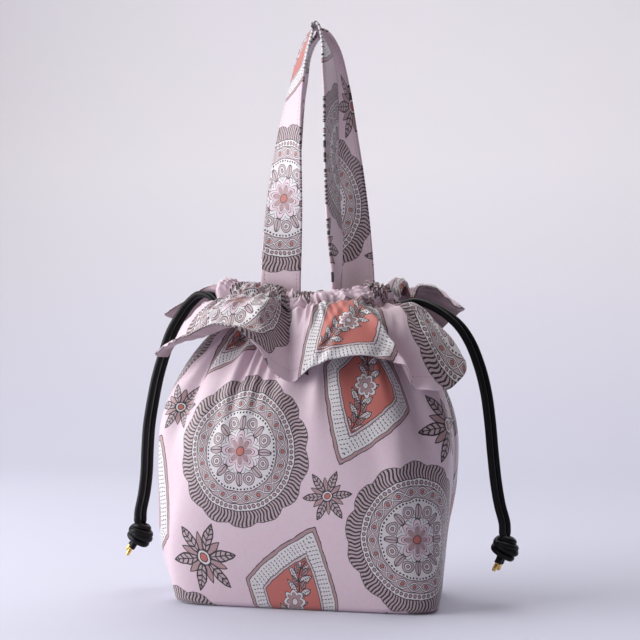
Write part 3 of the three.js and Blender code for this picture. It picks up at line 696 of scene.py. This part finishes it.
# Each fold: its share of the width at the root and at the hem, its width, its depth and its crest's roundness
FRONT_FLAP_FOLDS = [
    (0.16, 0.180, 0.070, 0.0045, 1.0), (0.19, 0.340, 0.050, 0.0050, 0.6),
    (0.34, 0.415, 0.036, 0.0065, 0.5), (0.440, 0.500, 0.042, -0.0128, 0.08),
    (0.64, 0.700, 0.085, 0.0055, 1.0), (0.70, 0.785, 0.028, 0.0085, 0.15),
    (0.755, 0.835, 0.026, -0.0080, 0.3), (0.86, 0.930, 0.070, 0.0060, 1.0),
]
BACK_FLAP_FOLDS = [
    (0.20, 0.200, 0.050, 0.0050, 1.0), (0.33, 0.310, 0.030, -0.0070, 0.3),
    (0.46, 0.450, 0.040, 0.0045, 1.0), (0.57, 0.600, 0.032, -0.0075, 0.2),
    (0.70, 0.720, 0.050, 0.0050, 1.0), (0.84, 0.860, 0.028, -0.0040, 0.5),
]

# The neck line's sway and the hem's curl, each as shares of the width with a rise in metres
NECK_SWAY = [
    (0.0, 0.0), (0.10, 0.003), (0.20, 0.001), (0.35, -0.002), (0.50, -0.0045), (0.60, -0.001),
    (0.72, -0.003), (0.90, 0.002), (1.0, 0.0),
]
FRONT_CURL = [(0.0, 0.0), (0.08, 0.005), (0.26, 0.0095), (0.37, 0.0085), (0.43, 0.0), (1.0, 0.0)]
BACK_CURL = [(0.0, 0.0), (1.0, 0.0)]


def tuft_crowd(shares, out, count, seed):
    """Round tufts crowded along the root in two uneven rows: the highest of h (1 - u^2 - v^2)^0.6 over the
    tufts, with u and v the places across and along a tuft that leans. Sharp creases lie between them."""
    chance = np.random.default_rng(seed)
    crowd = np.zeros(np.broadcast(shares, out).shape)
    for first, last in ((0.0, 0.08), (0.13, 0.25)):
        bounds = uneven_bounds(chance, 0.4, 1.7, count)
        for low, high in zip(bounds, bounds[1:]):
            height, lean, centre, reach = chance.uniform((0.35, -0.5, first, 0.09), (1.0, 0.5, last, 0.16))
            across = (shares - (low + high) / 2 - lean * (out - centre)) / (0.72 * (high - low))
            along = (out - centre) / reach
            crowd = np.maximum(crowd, height * (1 - across**2 - along**2).clip(0.0) ** 0.6)
    return crowd


def flap_sheet(hem, arch, sweep, shares, out):
    """A flap without its folds: the plan moves from the root's outline to the hem's, and the height is
    root + 6 sin(pi sqrt(t)) - drop t^1.6 in mm, with an arch near each end. The sweep draws the right end
    forwards and out, the corners are rounded and the neck line sways."""
    ends = np.abs(2 * shares - 1)
    far = out * (1 - 0.10 * ((ends - 0.90).clip(0.0) / 0.10) ** 2)
    root = half_outline(*ROOT_OUTLINE, shares, ROOT_GAP)
    end = half_outline(*HEM_OUTLINE, shares, HEM_GAP)
    x, y = (near + (hem_side - near) * far for near, hem_side in zip(root, end))
    x = x * (1 + (0.04 + 6.0 * sweep) * ease(shares, 0.80, 1.0) * ease(out, 0.3, 1.0))
    y = y - sweep * ease(shares, 0.72, 1.0) * ease(out, 0.1, 0.8)
    level = np.interp(shares * (len(hem) - 1), np.arange(len(hem)), np.array(hem) / 1000)
    weights = np.hanning(15)
    drop = np.convolve(np.pad(level, 7, mode="edge"), weights / weights.sum(), mode="valid")
    lift = np.where(shares < 0.5, *arch) * ease(ends, 0.45, 0.85)
    height = RUFFLE_ROOT + ROOT_PUFF * np.sin(math.pi * np.sqrt(out)) - drop * out**1.6
    height = height + lift * bell(out, 0.62, 0.26)
    height = height + np.interp(shares, *zip(*NECK_SWAY)) * (1 - ease(out, 0.10, 0.45))
    return np.stack(np.broadcast_arrays(x, y, height), axis=2)


def flap_relief(folds, seed, side, out):
    """How far the folds stand off a flap: tufts with a fine crumple crowd the root, streaks run out from
    them, and bells along slanted lines, sharp or round by their crest, fold the flap down to its hem."""
    crowded = ease(out, -0.03, 0.04) * (1 - ease(out, 0.27, 0.42))
    ends = np.abs(2 * side - 1)
    tufts = (tuft_crowd(side, out, TUFTS, seed) - 0.45) * (1 + 0.3 * ease(ends, 0.55, 0.9))
    crumple = soft_wave(side + 0.45 * out, 18, 0.8, seed + 1.1)
    crumple = crumple * soft_wave(side - 0.60 * out, 11, 0.7, seed + 2.0)
    streaks = soft_wave(side + 0.05 * out, 13, 0.7, seed + 0.7)
    streaks = streaks + 0.5 * soft_wave(side - 0.07 * out, 21, 0.6, seed)
    push = crowded * (TUFT_HEIGHT * tufts + CRUMPLE_DEPTH * crumple)
    push = push + STREAK_DEPTH * streaks * bell(out, 0.40, 0.20)
    push = push + FLAP_WAVE * soft_wave(side + 0.22 * out, 9, 0.8, seed + 1.9) * ease(out, 0.3, 0.7)
    push = push - NECK_DIP * bell(out, 0.35, 0.05)
    for root_share, hem_share, width, depth, crest in folds:
        line = root_share + (hem_share - root_share) * out
        place = (side - line) / (width * (0.55 + 0.45 * out))
        push = push + depth * ease(out, 0.12, 0.75) * np.exp(crest - np.sqrt(place**2 + crest**2))
    return push


def flap_grid(hem, folds, curl, arch, sweep, seed, columns=330, rows=110):
    """A flap from its root to its hem, with its relief along the normals and its cloth coordinates. The curl
    turns up the last part of the hem: it dips by a half sine and then moves outwards."""
    shares = np.linspace(0.0, 1.0, columns + 1)
    out = np.linspace(0.0, 1.0, rows + 1)[:, None] ** 1.2
    points = flap_sheet(hem, arch, sweep, shares, out)
    side = np.broadcast_to(shares, points.shape[:2])
    points = points + grid_normals(points) * flap_relief(folds, seed, side, out)[:, :, None]
    turn_up = np.interp(side, *zip(*curl))
    points[:, :, 2] -= 1.1 * turn_up * np.sin(math.pi * ease(out, 0.62, 1.0))
    plan = points[:, :, :2] / np.linalg.norm(points[:, :, :2], axis=2, keepdims=True)
    points[:, :, :2] += plan * (0.8 * turn_up * ease(out, 0.84, 1.0))[:, :, None]
    reach = np.linalg.norm(np.diff(points, axis=0), axis=2).mean(axis=1)
    rise = FLAP_TOP - np.concatenate(([0.0], np.cumsum(reach)))
    return points, cloth_spots(FLAP_WIDTH * (side - 0.5), rise)


def unit(vectors):
    """Vectors made one long."""
    return vectors / np.linalg.norm(vectors, axis=-1, keepdims=True)


def stitch_row(points, normals, pitch, length, width, height):
    """A row of stitches along a line of points: short ridges with a flat hexagon for their plan, each sunk a
    little in the cloth, returned as places and faces."""
    run = run_along(points)
    middles = np.arange(pitch, run[-1] - pitch, pitch)
    before, after = (read_along(middles + step, run, points) for step in (-pitch / 4, pitch / 4))
    along = unit(after - before)
    up = unit(read_along(middles, run, normals))
    beside = np.cross(up, along)
    plan = np.array([
        (-0.5, 0.0, -0.3), (-0.36, 0.5, -0.3), (0.36, 0.5, -0.3), (0.5, 0.0, -0.3), (0.36, -0.5, -0.3),
        (-0.36, -0.5, -0.3), (-0.33, 0.0, 1.0), (0.33, 0.0, 1.0),
    ])
    offsets = (
        plan[:, 0, None, None] * length * along + plan[:, 1, None, None] * width * beside
        + plan[:, 2, None, None] * height * up
    )
    places = (read_along(middles, run, points) + offsets).transpose(1, 0, 2).reshape(-1, 3)
    shape = [(0, 6, 1), (1, 6, 7), (1, 7, 2), (2, 7, 3), (3, 7, 4), (4, 7, 6), (4, 6, 5), (5, 6, 0)]
    faces = (np.arange(len(middles))[:, None, None] * len(plan) + np.array(shape)).reshape(-1, 3)
    return places, faces[:, ::-1]


def stitch_piece(name, rows, material):
    """Rows of stitches joined in one mesh."""
    start = np.concatenate(([0], np.cumsum([len(places) for places, _ in rows])[:-1]))
    places = np.concatenate([places for places, _ in rows])
    faces = np.concatenate([faces + first for (_, faces), first in zip(rows, start)])
    return new_piece(name, places.tolist(), faces.tolist(), material, smooth=False)


def object_place(tree):
    """The place on the object, in metres."""
    return add_node(tree, "ShaderNodeTexCoord", {}).outputs["Object"]


def sewing_thread(name, tone):
    """Twisted thread: fine slanted bands of a lighter and a darker tone, 0.45 mm apart. The darker bands are
    painted shade in the grooves between the plies.
    """
    material, tree, shader = new_material(name)
    ply_groove_shade = add_node(
        tree, "ShaderNodeTexWave", {"Vector": object_place(tree), "Scale": 800.0}, bands_direction="DIAGONAL",
    )
    # painted shade: the thread's tone darkened to 70 % in the bands between the plies
    colour = tone_ramp(tree, ply_groove_shade.outputs["Fac"], (darkened(tone, 0.7), tone))
    set_inputs(tree, shader, {"Base Color": colour, "Roughness": 0.5})
    return material


flap_print = printed_satin("flap_print", turn=0.95, centre=(-58.0, 26.0))
facing_cloth = plain_cloth("plain_facing", tinted(180, 155, 162))
thread = sewing_thread("rose_thread", tinted(206, 176, 182))
for name, hem, folds, curl, arch, sweep, seed in (
    ("front", FRONT_HEM, FRONT_FLAP_FOLDS, FRONT_CURL, (0.0, 0.003), 0.0, 4),
    ("back", BACK_HEM, BACK_FLAP_FOLDS, BACK_CURL, (0.008, 0.010), 0.024, 9),
):
    points, cloth = flap_grid(hem, folds, curl, arch, sweep, seed)
    points, normals = placed(name, points), placed(name, grid_normals(points))
    flap = grid_piece(f"{name}_flap_cloth", points, cloth, flap_print, SATIN_THICKNESS)
    behind = points - normals * FACING_DEPTH
    facing = grid_piece(f"{name}_flap_facing", behind[:, ::-1], cloth[:, ::-1], facing_cloth)
    line = len(points) - HEM_ALLOWANCE
    seam = stitch_row(points[line], normals[line], *HEM_STITCH)
    hem_stitches = stitch_piece(f"{name}_hem_stitching", [seam], thread)
    for piece, node, slot in (
        (flap, f"{name}_ruffle", "printed_cloth"),
        (facing, f"{name}_ruffle_facing", "plain_lining"),
    ):
        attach(piece, "bag")
        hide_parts(node)
    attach(hem_stitches, "bag")


# Handles: a flat strap of doubled printed satin for each side, sewn into the casing at both ends and
# stitched along its edges. Each leg twists on its way up, so the straps stand edge on where they meet.

PIVOT = 0.2333
RISE = 0.191
HANDLE_LINE = 0.0215
MEETING_LINE = 0.01535
STRAP_HALF = 0.0154
STRAP_HALF_THICKNESS = 0.0012
FOOT_DEPTH = 0.013
FOOT_DRAW = 0.36
TROUGH_DEPTH = 0.007
FACE_POINTS = 25
EDGE_POINTS = 7
LEG_TWIST = 62.0
TOP_TWIST = 34.0
SEAM_LINE = 0.80
STITCH_LEVEL = 0.00105
STRAP_STITCH = (0.0030, 0.0021, 0.0005, 0.00026)

# Each knot of a loop: its place across in millimetres and its share of the rise
FRONT_LOOP = [
    (-18.5, 0), (-18.5, 0.03), (-16.5, 0.3), (-13.5, 0.55), (-7.5, 0.78), (-1, 0.93), (6.5, 1), (14, 0.93),
    (18, 0.78), (19, 0.55), (21, 0.3), (25, 0.03), (25, 0),
]
BACK_LOOP = [
    (-28, 0), (-28, 0.03), (-25, 0.3), (-22, 0.55), (-19, 0.78), (-13, 0.93), (-4, 1), (8, 0.93),
    (15, 0.78), (19, 0.55), (24, 0.3), (27, 0.03), (27, 0),
]


def smooth_path(knots, count):
    """A centripetal Catmull-Rom curve through the knots, read at evenly spaced places along its length."""
    knots = np.asarray(knots, dtype=float)
    padded = np.concatenate([[2 * knots[0] - knots[1]], knots, [2 * knots[-1] - knots[-2]]])
    gaps = np.sqrt(np.linalg.norm(np.diff(padded, axis=0), axis=1))[:, None]
    p0, p1, p2, p3 = padded[:-3], padded[1:-2], padded[2:-1], padded[3:]
    g0, g1, g2 = gaps[:-2], gaps[1:-1], gaps[2:]
    start = g1 * ((p1 - p0) / g0 - (p2 - p0) / (g0 + g1) + (p2 - p1) / g1)
    finish = g1 * ((p2 - p1) / g1 - (p3 - p1) / (g1 + g2) + (p3 - p2) / g2)
    t = np.linspace(0.0, 1.0, 40, endpoint=False)[:, None, None]
    curve = (
        (2 * t**3 - 3 * t**2 + 1) * p1 + (t**3 - 2 * t**2 + t) * start
        + (3 * t**2 - 2 * t**3) * p2 + (t**3 - t**2) * finish
    )
    dense = np.concatenate([curve.transpose(1, 0, 2).reshape(-1, 3), knots[-1:]])
    run = run_along(dense)
    return read_along(np.linspace(0.0, run[-1], count), run, dense)


def handle_frame(loop, count=240):
    """The strap's middle line, its width direction, its outward direction and its share of the full width at
    each place: the width turns away on the way up the left leg and stands edge on down the right leg, whose
    foot is drawn narrow between the gathers."""
    line = smooth_path([
        (x / 1000, -(HANDLE_LINE + (MEETING_LINE - HANDLE_LINE) * share), PIVOT + RISE * share)
        for x, share in loop
    ], count)
    along = np.linspace(0.0, 1.0, count)
    turn = -np.radians(LEG_TWIST * ease(along, 0.0, 0.47) + TOP_TWIST * ease(along, 0.45, 0.60))
    gathered = FOOT_DRAW * ease(along, 0.90, 0.985)
    feet = np.linspace(FOOT_DEPTH, 0.0, 7)[:-1]
    down = np.array([0.0, 0.0, -1.0]) * feet[:, None]
    line = np.concatenate([line[0] + down, line, (line[-1] + down)[::-1]])
    turn, gathered = (np.pad(values, len(feet), mode="edge") for values in (turn, gathered))
    tangent = unit(np.gradient(line, axis=0))
    width = np.stack([np.cos(turn), np.sin(turn), np.zeros_like(turn)], axis=1)
    width = unit(width - tangent * (width * tangent).sum(axis=1, keepdims=True))
    return line, width, np.cross(width, tangent), 1 - gathered


def band_piece(name, points, cloth, material):
    """A closed band of rings, each joined to the next, with a cap on the first and on the last."""
    rows, sides = points.shape[:2]
    index = np.arange(rows * sides).reshape(rows, sides)
    after = np.roll(index, -1, axis=1)
    faces = np.stack([index[:-1], after[:-1], after[1:], index[1:]], axis=2).reshape(-1, 4).tolist()
    caps = [index[0][::-1].tolist(), index[-1].tolist()]
    return new_piece(name, points.reshape(-1, 3).tolist(), faces + caps, material, cloth.reshape(-1, 2))


def strap_piece(name, line, width, outward, share, material):
    """A closed band: a flat section with round edges, a raised hem at each side and a soft crown between,
    carried along the strap's line. Where it keeps only a share of its width it bends into a trough."""
    side = np.linspace(-0.93, 0.93, FACE_POINTS)
    crown = 1.0 - 0.12 * bell(np.abs(side), SEAM_LINE, 0.06) - 0.10 * np.abs(side) ** 6
    top = np.stack([side, crown], axis=1)
    bend = np.linspace(0.0, math.pi, EDGE_POINTS + 2)[1:-1]
    right = np.stack([0.93 + 0.07 * np.sin(bend), 0.9 * np.cos(bend)], axis=1)
    across, proud = np.concatenate([top, right, -top, -right]).T
    trough = TROUGH_DEPTH * (1 - share)[:, None] * (0.5 - across**2)
    points = (
        line[:, None] + (across * STRAP_HALF * share[:, None])[:, :, None] * width[:, None]
        + (proud * STRAP_HALF_THICKNESS + trough)[:, :, None] * outward[:, None]
    )
    around = np.concatenate([
        np.linspace(-0.5, 0.5, FACE_POINTS), np.full(EDGE_POINTS, 0.52),
        np.linspace(0.55, 1.55, FACE_POINTS), np.full(EDGE_POINTS, 1.6),
    ])
    return band_piece(name, points, cloth_spots(around * 2 * STRAP_HALF, run_along(line)), material)


strap_print = printed_satin("strap_print", turn=0.62, centre=(2.0, 78.0))
for name, loop in (("front", FRONT_LOOP), ("back", BACK_LOOP)):
    line, width, outward, share = handle_frame(loop)
    line, width, outward = (placed(name, values) for values in (line, width, outward))
    strap = strap_piece(f"{name}_handle_strap", line, width, outward, share, strap_print)
    rows = []
    for edge in (-SEAM_LINE, SEAM_LINE):
        for face in (-1, 1):
            seam = line + width * (edge * STRAP_HALF) + outward * (face * STITCH_LEVEL)
            kept = share > 0.99
            rows.append(stitch_row(seam[kept], (outward * face)[kept], *STRAP_STITCH))
    stitches = stitch_piece(f"{name}_handle_stitching", rows, thread)
    for piece in (strap, stitches):
        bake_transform(piece)
    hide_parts(f"{name}_handle", f"{name}_handle_left_end", f"{name}_handle_right_end")


# Drawcords: two smooth black cords in the casing, each looped through from its own side. Their free ends
# leave the casing in pairs, rise over its puffed end and hang beside the body to the knots.

CORD_RADIUS = 0.0025
CORD_GIRTH = 0.0157
CORD_SIDES = 20
PAIR_OFFSET = 2.1
EXIT_SPREAD = 9.7
CHANNEL_HEIGHT = 0.2159
CHANNEL_EXIT = 0.0646
CHANNEL_BEND = 0.0366
CHANNEL_BOW = 0.015
TURN_RADIUS = 0.010
CROSSING = 0.00325

# Each point of a free pair, in millimetres: its place across, half the spread of the pair, and its height
LEFT_ROUTE = [
    (-71, 9.7, 220.2), (-79, 7.6, 226.6), (-87.5, 5, 227.4), (-96.5, 3.4, 220.5), (-104, 3, 210.5),
    (-110.7, 2.8, 199), (-116.4, 2.8, 183.5), (-122.1, 2.8, 164.9), (-126.2, 2.8, 145.6),
    (-129.3, 2.8, 126.3), (-130.6, 2.8, 107.8), (-131.4, 2.8, 90.1), (-133.3, 2.8, 74.5),
    (-136.2, 2.8, 60.5), (-136.5, 2.8, 53.85),
]
RIGHT_ROUTE = [
    (71, 9.7, 219.6), (80, 7.4, 221.6), (95, 4.3, 216.3), (109.5, 3, 205.5), (118.5, 2.8, 193),
    (126, 2.8, 174.5), (130.8, 2.8, 155.5), (133.7, 2.8, 134.5), (135.9, 2.8, 110.5),
    (138.3, 2.8, 88.5), (141, 2.8, 73), (144.3, 2.8, 60.2), (144.6, 2.8, 53.55),
]
STRANDS = (("front", -1), ("back", 1))


def cord_piece(name, line, material):
    """A round cord along a line: rings square to the line, each turned no more than the line itself bends,
    with closed ends and cloth coordinates of turn and length."""
    tangent = unit(np.gradient(line, axis=0))
    first = np.cross(tangent[0], (0.0, 0.0, 1.0) if abs(tangent[0][2]) < 0.9 else (0.0, 1.0, 0.0))
    beside = [unit(first)]
    for here in tangent[1:]:
        beside.append(unit(beside[-1] - here * beside[-1].dot(here)))
    beside = np.array(beside)
    above = np.cross(tangent, beside)
    angle = np.linspace(0.0, 2 * math.pi, CORD_SIDES, endpoint=False)[None, :, None]
    points = line[:, None] + CORD_RADIUS * (np.cos(angle) * beside[:, None] + np.sin(angle) * above[:, None])
    around = np.linspace(0.0, CORD_GIRTH, CORD_SIDES)
    return band_piece(name, points, cloth_spots(around, run_along(line)), material)


def gloss_range(tree, factor, low, high):
    """The factor from 0 to 1 as a roughness from low to high."""
    values = {"Value": factor, "To Min": low, "To Max": high}
    return add_node(tree, "ShaderNodeMapRange", values).outputs["Result"]


def black_leather(name):
    """Round black leather cord: a satin black with fine grain and a slow change of gloss."""
    material, tree, shader = new_material(name)
    place = object_place(tree)
    grain = add_node(tree, "ShaderNodeTexVoronoi", {"Vector": place, "Scale": 1400.0})
    slow = add_node(tree, "ShaderNodeTexNoise", {"Vector": place, "Scale": 160.0, "Detail": 4.0})
    bump = add_node(
        tree, "ShaderNodeBump", {"Strength": 0.2, "Distance": 0.0002, "Height": grain.outputs["Distance"]},
    )
    set_inputs(tree, shader, {
        "Base Color": tone_ramp(tree, slow.outputs["Fac"], (tinted(5, 5, 8), tinted(10, 10, 14))),
        "Specular IOR Level": 0.22,
        "Roughness": gloss_range(tree, slow.outputs["Fac"], 0.36, 0.48),
        "Normal": bump.outputs["Normal"],
    })
    return material


def channel_run(side, count=120):
    """The part of a cord that stays in the casing: it crosses from above to below the other cord along the
    front, turns round at the far end on a 10 mm radius and comes back along the other half."""
    x = np.linspace(0.0009 - CHANNEL_BEND, CHANNEL_EXIT, count)

    def bow(at):
        share = (1 + np.cos(math.pi * np.clip(at, -CHANNEL_BEND, CHANNEL_BEND) / CHANNEL_BEND)) / 2
        return -(TURN_RADIUS + CHANNEL_BOW * share)

    turn = math.pi * np.clip((x + CHANNEL_BEND) / (2 * CHANNEL_BEND), 0.0, 1.0)
    slope = (bow(x + 0.0005) - bow(x - 0.0005)) / 0.001
    shift = side * CROSSING * np.sin(turn) / np.sqrt(1 + slope**2)
    front = np.stack([x - slope * shift, bow(x) + shift, CHANNEL_HEIGHT + CROSSING * np.cos(turn)], axis=1)
    angle = np.linspace(-math.pi / 2, math.pi / 2, 41)[1:-1]
    end = np.stack([
        CHANNEL_EXIT + TURN_RADIUS * np.cos(angle), TURN_RADIUS * np.sin(angle),
        np.full_like(angle, front[-1, 2]),
    ], axis=1)
    back = front[::-1] * np.array([1.0, -1.0, 1.0])
    return np.concatenate([front, end, back]) * np.array([-side, 1.0, 1.0])


def strand_line(side, face, route):
    """One free end's middle line: straight out along the casing's channel, and then along its route."""
    inside = [
        (side * (CHANNEL_BEND + (CHANNEL_EXIT - CHANNEL_BEND) * share), face * TURN_RADIUS,
         CHANNEL_HEIGHT + CROSSING)
        for share in (0.0, 0.3, 0.6, 0.9, 1.0)
    ]
    free = [
        ((x + face * PAIR_OFFSET * (1 - spread / EXIT_SPREAD)) / 1000, face * spread / 1000, height / 1000)
        for x, spread, height in route
    ]
    return smooth_path(inside + free, 200)


cord_leather = black_leather("black_cord_leather")
strands = {}
for name, side, route in (("left", -1, LEFT_ROUTE), ("right", 1, RIGHT_ROUTE)):
    hidden = cord_piece(f"{name}_cord_in_casing", channel_run(side), cord_leather)
    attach(hidden, "bag")
    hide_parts(f"{name}_cord_channel_loop")
    for place, face in STRANDS:
        line = strand_line(side, face, route)
        strand = cord_piece(f"{name}_{place}_cord", line, cord_leather)
        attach(strand, f"{name}_cord")
        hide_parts(f"{name}_cord_{place}_strand")
        strands[name, place] = (strand, line)


# Knots and tips: each pair of cord ends is tied in one overhand knot, and every end is bound by a short
# turned brass tip with a beaded mouth.

KNOT_CENTRES = {"left": (-136.5, 0.0, 42.5), "right": (144.6, 0.0, 42.2)}
TIP_DIRECTIONS = {
    ("left", "front"): (-0.50, -0.25, -0.83), ("left", "back"): (-0.68, 0.25, -0.66),
    ("right", "front"): (-0.42, -0.25, -0.87), ("right", "back"): (-0.30, 0.30, -0.90),
}
TIP_START = 0.0105
TIP_RADIUS = 0.0016
STRAND_ASIDE = 2.4
ENTRY = (1.5, 2.8)
ENTRY_HEIGHTS = (13.5, 11.0)
TIP_MOUTH = (8.6, 12.5)

# The cord pair's turns about the knot's centre, in millimetres as the knot's other places are
KNOT_TURNS = [
    (0.3, 1.5, 7.0), (2.0, 3.4, 1.5), (5.6, 1.5, -4.6), (5.2, -4.6, -4.6), (-1.2, -6.6, -1.4),
    (-6.6, -2.4, 2.0), (-4.4, 5.2, 4.4), (3.2, 6.0, 3.6), (6.8, 0.4, 2.2), (4.4, -5.2, 3.6),
    (-1.6, -5.6, 5.4), (-4.6, -1.6, 4.0), (-3.4, 0.6, -1.0),
]

# The tip's radius and its distance from the mouth, both in tip radii
TIP_PROFILE = [
    (0.0, 0.3), (0.8, 0.3), (0.86, 0.0), (1.06, 0.05), (1.14, 0.28), (1.06, 0.52), (0.98, 0.6), (0.98, 1.5),
    (0.9, 1.58), (0.9, 1.74), (0.98, 1.82), (0.96, 4.1), (0.92, 4.6), (0.78, 4.95), (0.5, 5.15), (0.0, 5.2),
]


def knot_strand(name, place, face):
    """One of a knot's two parallel cords, in metres: the shared turns, each set 2.4 mm to one side along the
    ball's surface, from the hanging cord's end to the mouth of the tip."""
    turns = np.array(KNOT_TURNS)
    aside = unit(np.cross(np.gradient(turns, axis=0), turns))
    aside[0] = aside[-1] = (0.0, 1.0, 0.0)
    for here in range(1, len(aside)):
        aside[here] *= 1.0 if aside[here].dot(aside[here - 1]) >= 0 else -1.0
    tip = unit(np.array(TIP_DIRECTIONS[name, place]))
    start = np.array([(ENTRY[0] * face, ENTRY[1] * face, height) for height in ENTRY_HEIGHTS])
    end = np.array([tip * distance for distance in TIP_MOUTH])
    path = np.concatenate([start, turns + STRAND_ASIDE * face * aside, end]) + KNOT_CENTRES[name]
    return smooth_path(path / 1000, 170)


def tip_piece(name, base, axis, material):
    """A turned brass tip: a profile with a beaded mouth, a groove and a domed end, spun round an axis."""
    profile = np.array(TIP_PROFILE) * TIP_RADIUS
    beside = unit(np.cross(axis, (0.0, 1.0, 0.0)))
    above = np.cross(axis, beside)
    angle = np.linspace(0.0, 2 * math.pi, 28, endpoint=False)[None, :, None]
    ring = np.cos(angle) * beside + np.sin(angle) * above
    points = base + profile[:, 1, None, None] * axis + profile[:, 0, None, None] * ring
    rows, sides = points.shape[:2]
    index = np.arange(rows * sides).reshape(rows, sides)
    after = np.roll(index, -1, axis=1)
    faces = np.stack([index[:-1], index[1:], after[1:], after[:-1]], axis=2).reshape(-1, 4)
    return new_piece(name, points.reshape(-1, 3).tolist(), faces.tolist(), material)


def polished_brass(name):
    """Polished brass with a faint tarnish, which changes its tone and its gloss."""
    material, tree, shader = new_material(name)
    values = {"Vector": object_place(tree), "Scale": 320.0}
    tarnish = add_node(tree, "ShaderNodeTexNoise", values).outputs["Fac"]
    set_inputs(tree, shader, {
        "Metallic": 1.0,
        "Base Color": tone_ramp(tree, tarnish, (tinted(226, 184, 98), tinted(246, 218, 146))),
        "Roughness": gloss_range(tree, tarnish, 0.2, 0.36),
    })
    return material


brass = polished_brass("polished_brass")
for name in ("left", "right"):
    tips, wraps = [], []
    for place, face in STRANDS:
        direction = unit(np.array(TIP_DIRECTIONS[name, place]))
        base = np.array(KNOT_CENTRES[name]) / 1000 + direction * TIP_START
        tip = tip_piece(f"{name}_{place}_brass_tip", base, direction, brass)
        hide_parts(f"{name}_{place}_tip")
        wrap = cord_piece(f"{name}_{place}_knot_cord", knot_strand(name, place, face), cord_leather)
        tips.append(tip)
        wraps.append(wrap)
    for piece in tips + wraps:
        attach(piece, f"{name}_cord")
    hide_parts(f"{name}_knot")
    for (place, face), tip, wrap in zip(STRANDS, tips, wraps):
        strand, line = strands[name, place]
        face * 0.010


# Studio: a sheet of pale paper that sweeps up behind the bag, one broad soft light from the left, a weak one
# from above, and a camera a little to the bag's right at half its height.

PAPER_HALF = 4.0
SWEEP_START = 0.9
SWEEP_RADIUS = 0.9
AZIMUTH = math.radians(14.0)
DISTANCE = 1.15
CAMERA_HEIGHT = 0.208
VIEW_WIDTH = 0.480
SENSOR_WIDTH = 36.0
IMAGE_WIDTH = 640
IMAGE_SHIFT = 8


def plain_stage(name, painted_floor_shade, wall_tone):
    """A pale matt paper with a faint mottling. Where it lies flat it is painted darker and bluer: painted
    shade with a bluish cast, on one sheet of paper.
    """
    material, tree, shader = new_material(name)
    place = object_place(tree)
    height = add_node(tree, "ShaderNodeSeparateXYZ", {"Vector": place}).outputs["Z"]
    rise = add_node(tree, "ShaderNodeMapRange", {"Value": height, "From Max": 0.5})
    # painted shade: the floor's darker, bluer tone blends into the wall's tone over the first half metre of
    # height
    tones = add_node(
        tree, "ShaderNodeMix", {"Factor": rise.outputs["Result"], 6: painted_floor_shade, 7: wall_tone},
        data_type="RGBA",
    )
    mottle = add_node(tree, "ShaderNodeTexNoise", {"Vector": place, "Scale": 3.0})
    mixed = add_node(
        tree, "ShaderNodeMix", {"Factor": 0.03, 6: tones.outputs[2], 7: mottle.outputs["Color"]},
        data_type="RGBA", blend_type="MULTIPLY",
    )
    set_inputs(tree, shader, {"Base Color": mixed.outputs[2], "Roughness": 0.8})
    return material


sweep = np.linspace(0.0, math.pi / 2, 25)[1:]
wall = SWEEP_START + SWEEP_RADIUS
depth = np.concatenate(([-PAPER_HALF, SWEEP_START], SWEEP_START + SWEEP_RADIUS * np.sin(sweep), [wall]))
rise = np.concatenate(([0.0, 0.0], SWEEP_RADIUS - SWEEP_RADIUS * np.cos(sweep), [PAPER_HALF]))
sides = np.array([-PAPER_HALF, PAPER_HALF])
paper = np.stack(np.broadcast_arrays(sides[None, :], depth[:, None], rise[:, None]), axis=2)[::-1]
# the first tone is the paper painted darker and bluer, as painted shade on the floor
pale_paper = plain_stage("pale_paper", tinted(203, 204, 220), tinted(229, 226, 231))
backdrop = grid_piece("backdrop", paper, paper[:, :, :2], pale_paper)

world = bpy.data.worlds.new("studio")
bpy.context.scene.world = world
world.use_nodes = True
sky = world.node_tree.nodes["Background"]
sky.inputs["Color"].default_value = tinted(244, 224, 226)
sky.inputs["Strength"].default_value = 0.13


def soft_light(name, place, target, size, power):
    """A square area light that faces the target."""
    lamp = bpy.data.lights.new(name, "AREA")
    lamp.size = size
    lamp.energy = power
    light = bpy.data.objects.new(name, lamp)
    direction = Vector(target) - Vector(place)
    light.matrix_world = Matrix.Translation(place) @ direction.to_track_quat("-Z", "Y").to_matrix().to_4x4()
    bpy.context.scene.collection.objects.link(light)


soft_light("window_light", place=(-1.32, -0.52, 0.60), target=(0.0, 0.0, 0.25), size=1.6, power=40.0)
soft_light("ceiling_light", place=(0.0, 0.5, 2.2), target=(0.1, -0.2, 0.0), size=2.4, power=40.0)

lens = bpy.data.cameras.new("camera")
lens.sensor_width = SENSOR_WIDTH
lens.lens = SENSOR_WIDTH * DISTANCE / VIEW_WIDTH
lens.shift_x = IMAGE_SHIFT / IMAGE_WIDTH
camera = bpy.data.objects.new("camera", lens)
camera.location = (DISTANCE * math.sin(AZIMUTH), -DISTANCE * math.cos(AZIMUTH), CAMERA_HEIGHT)
camera.rotation_euler = (math.pi / 2, 0.0, AZIMUTH)
bpy.context.scene.collection.objects.link(camera)
bpy.context.scene.camera = camera

bpy.context.scene.view_settings.view_transform = "Standard"
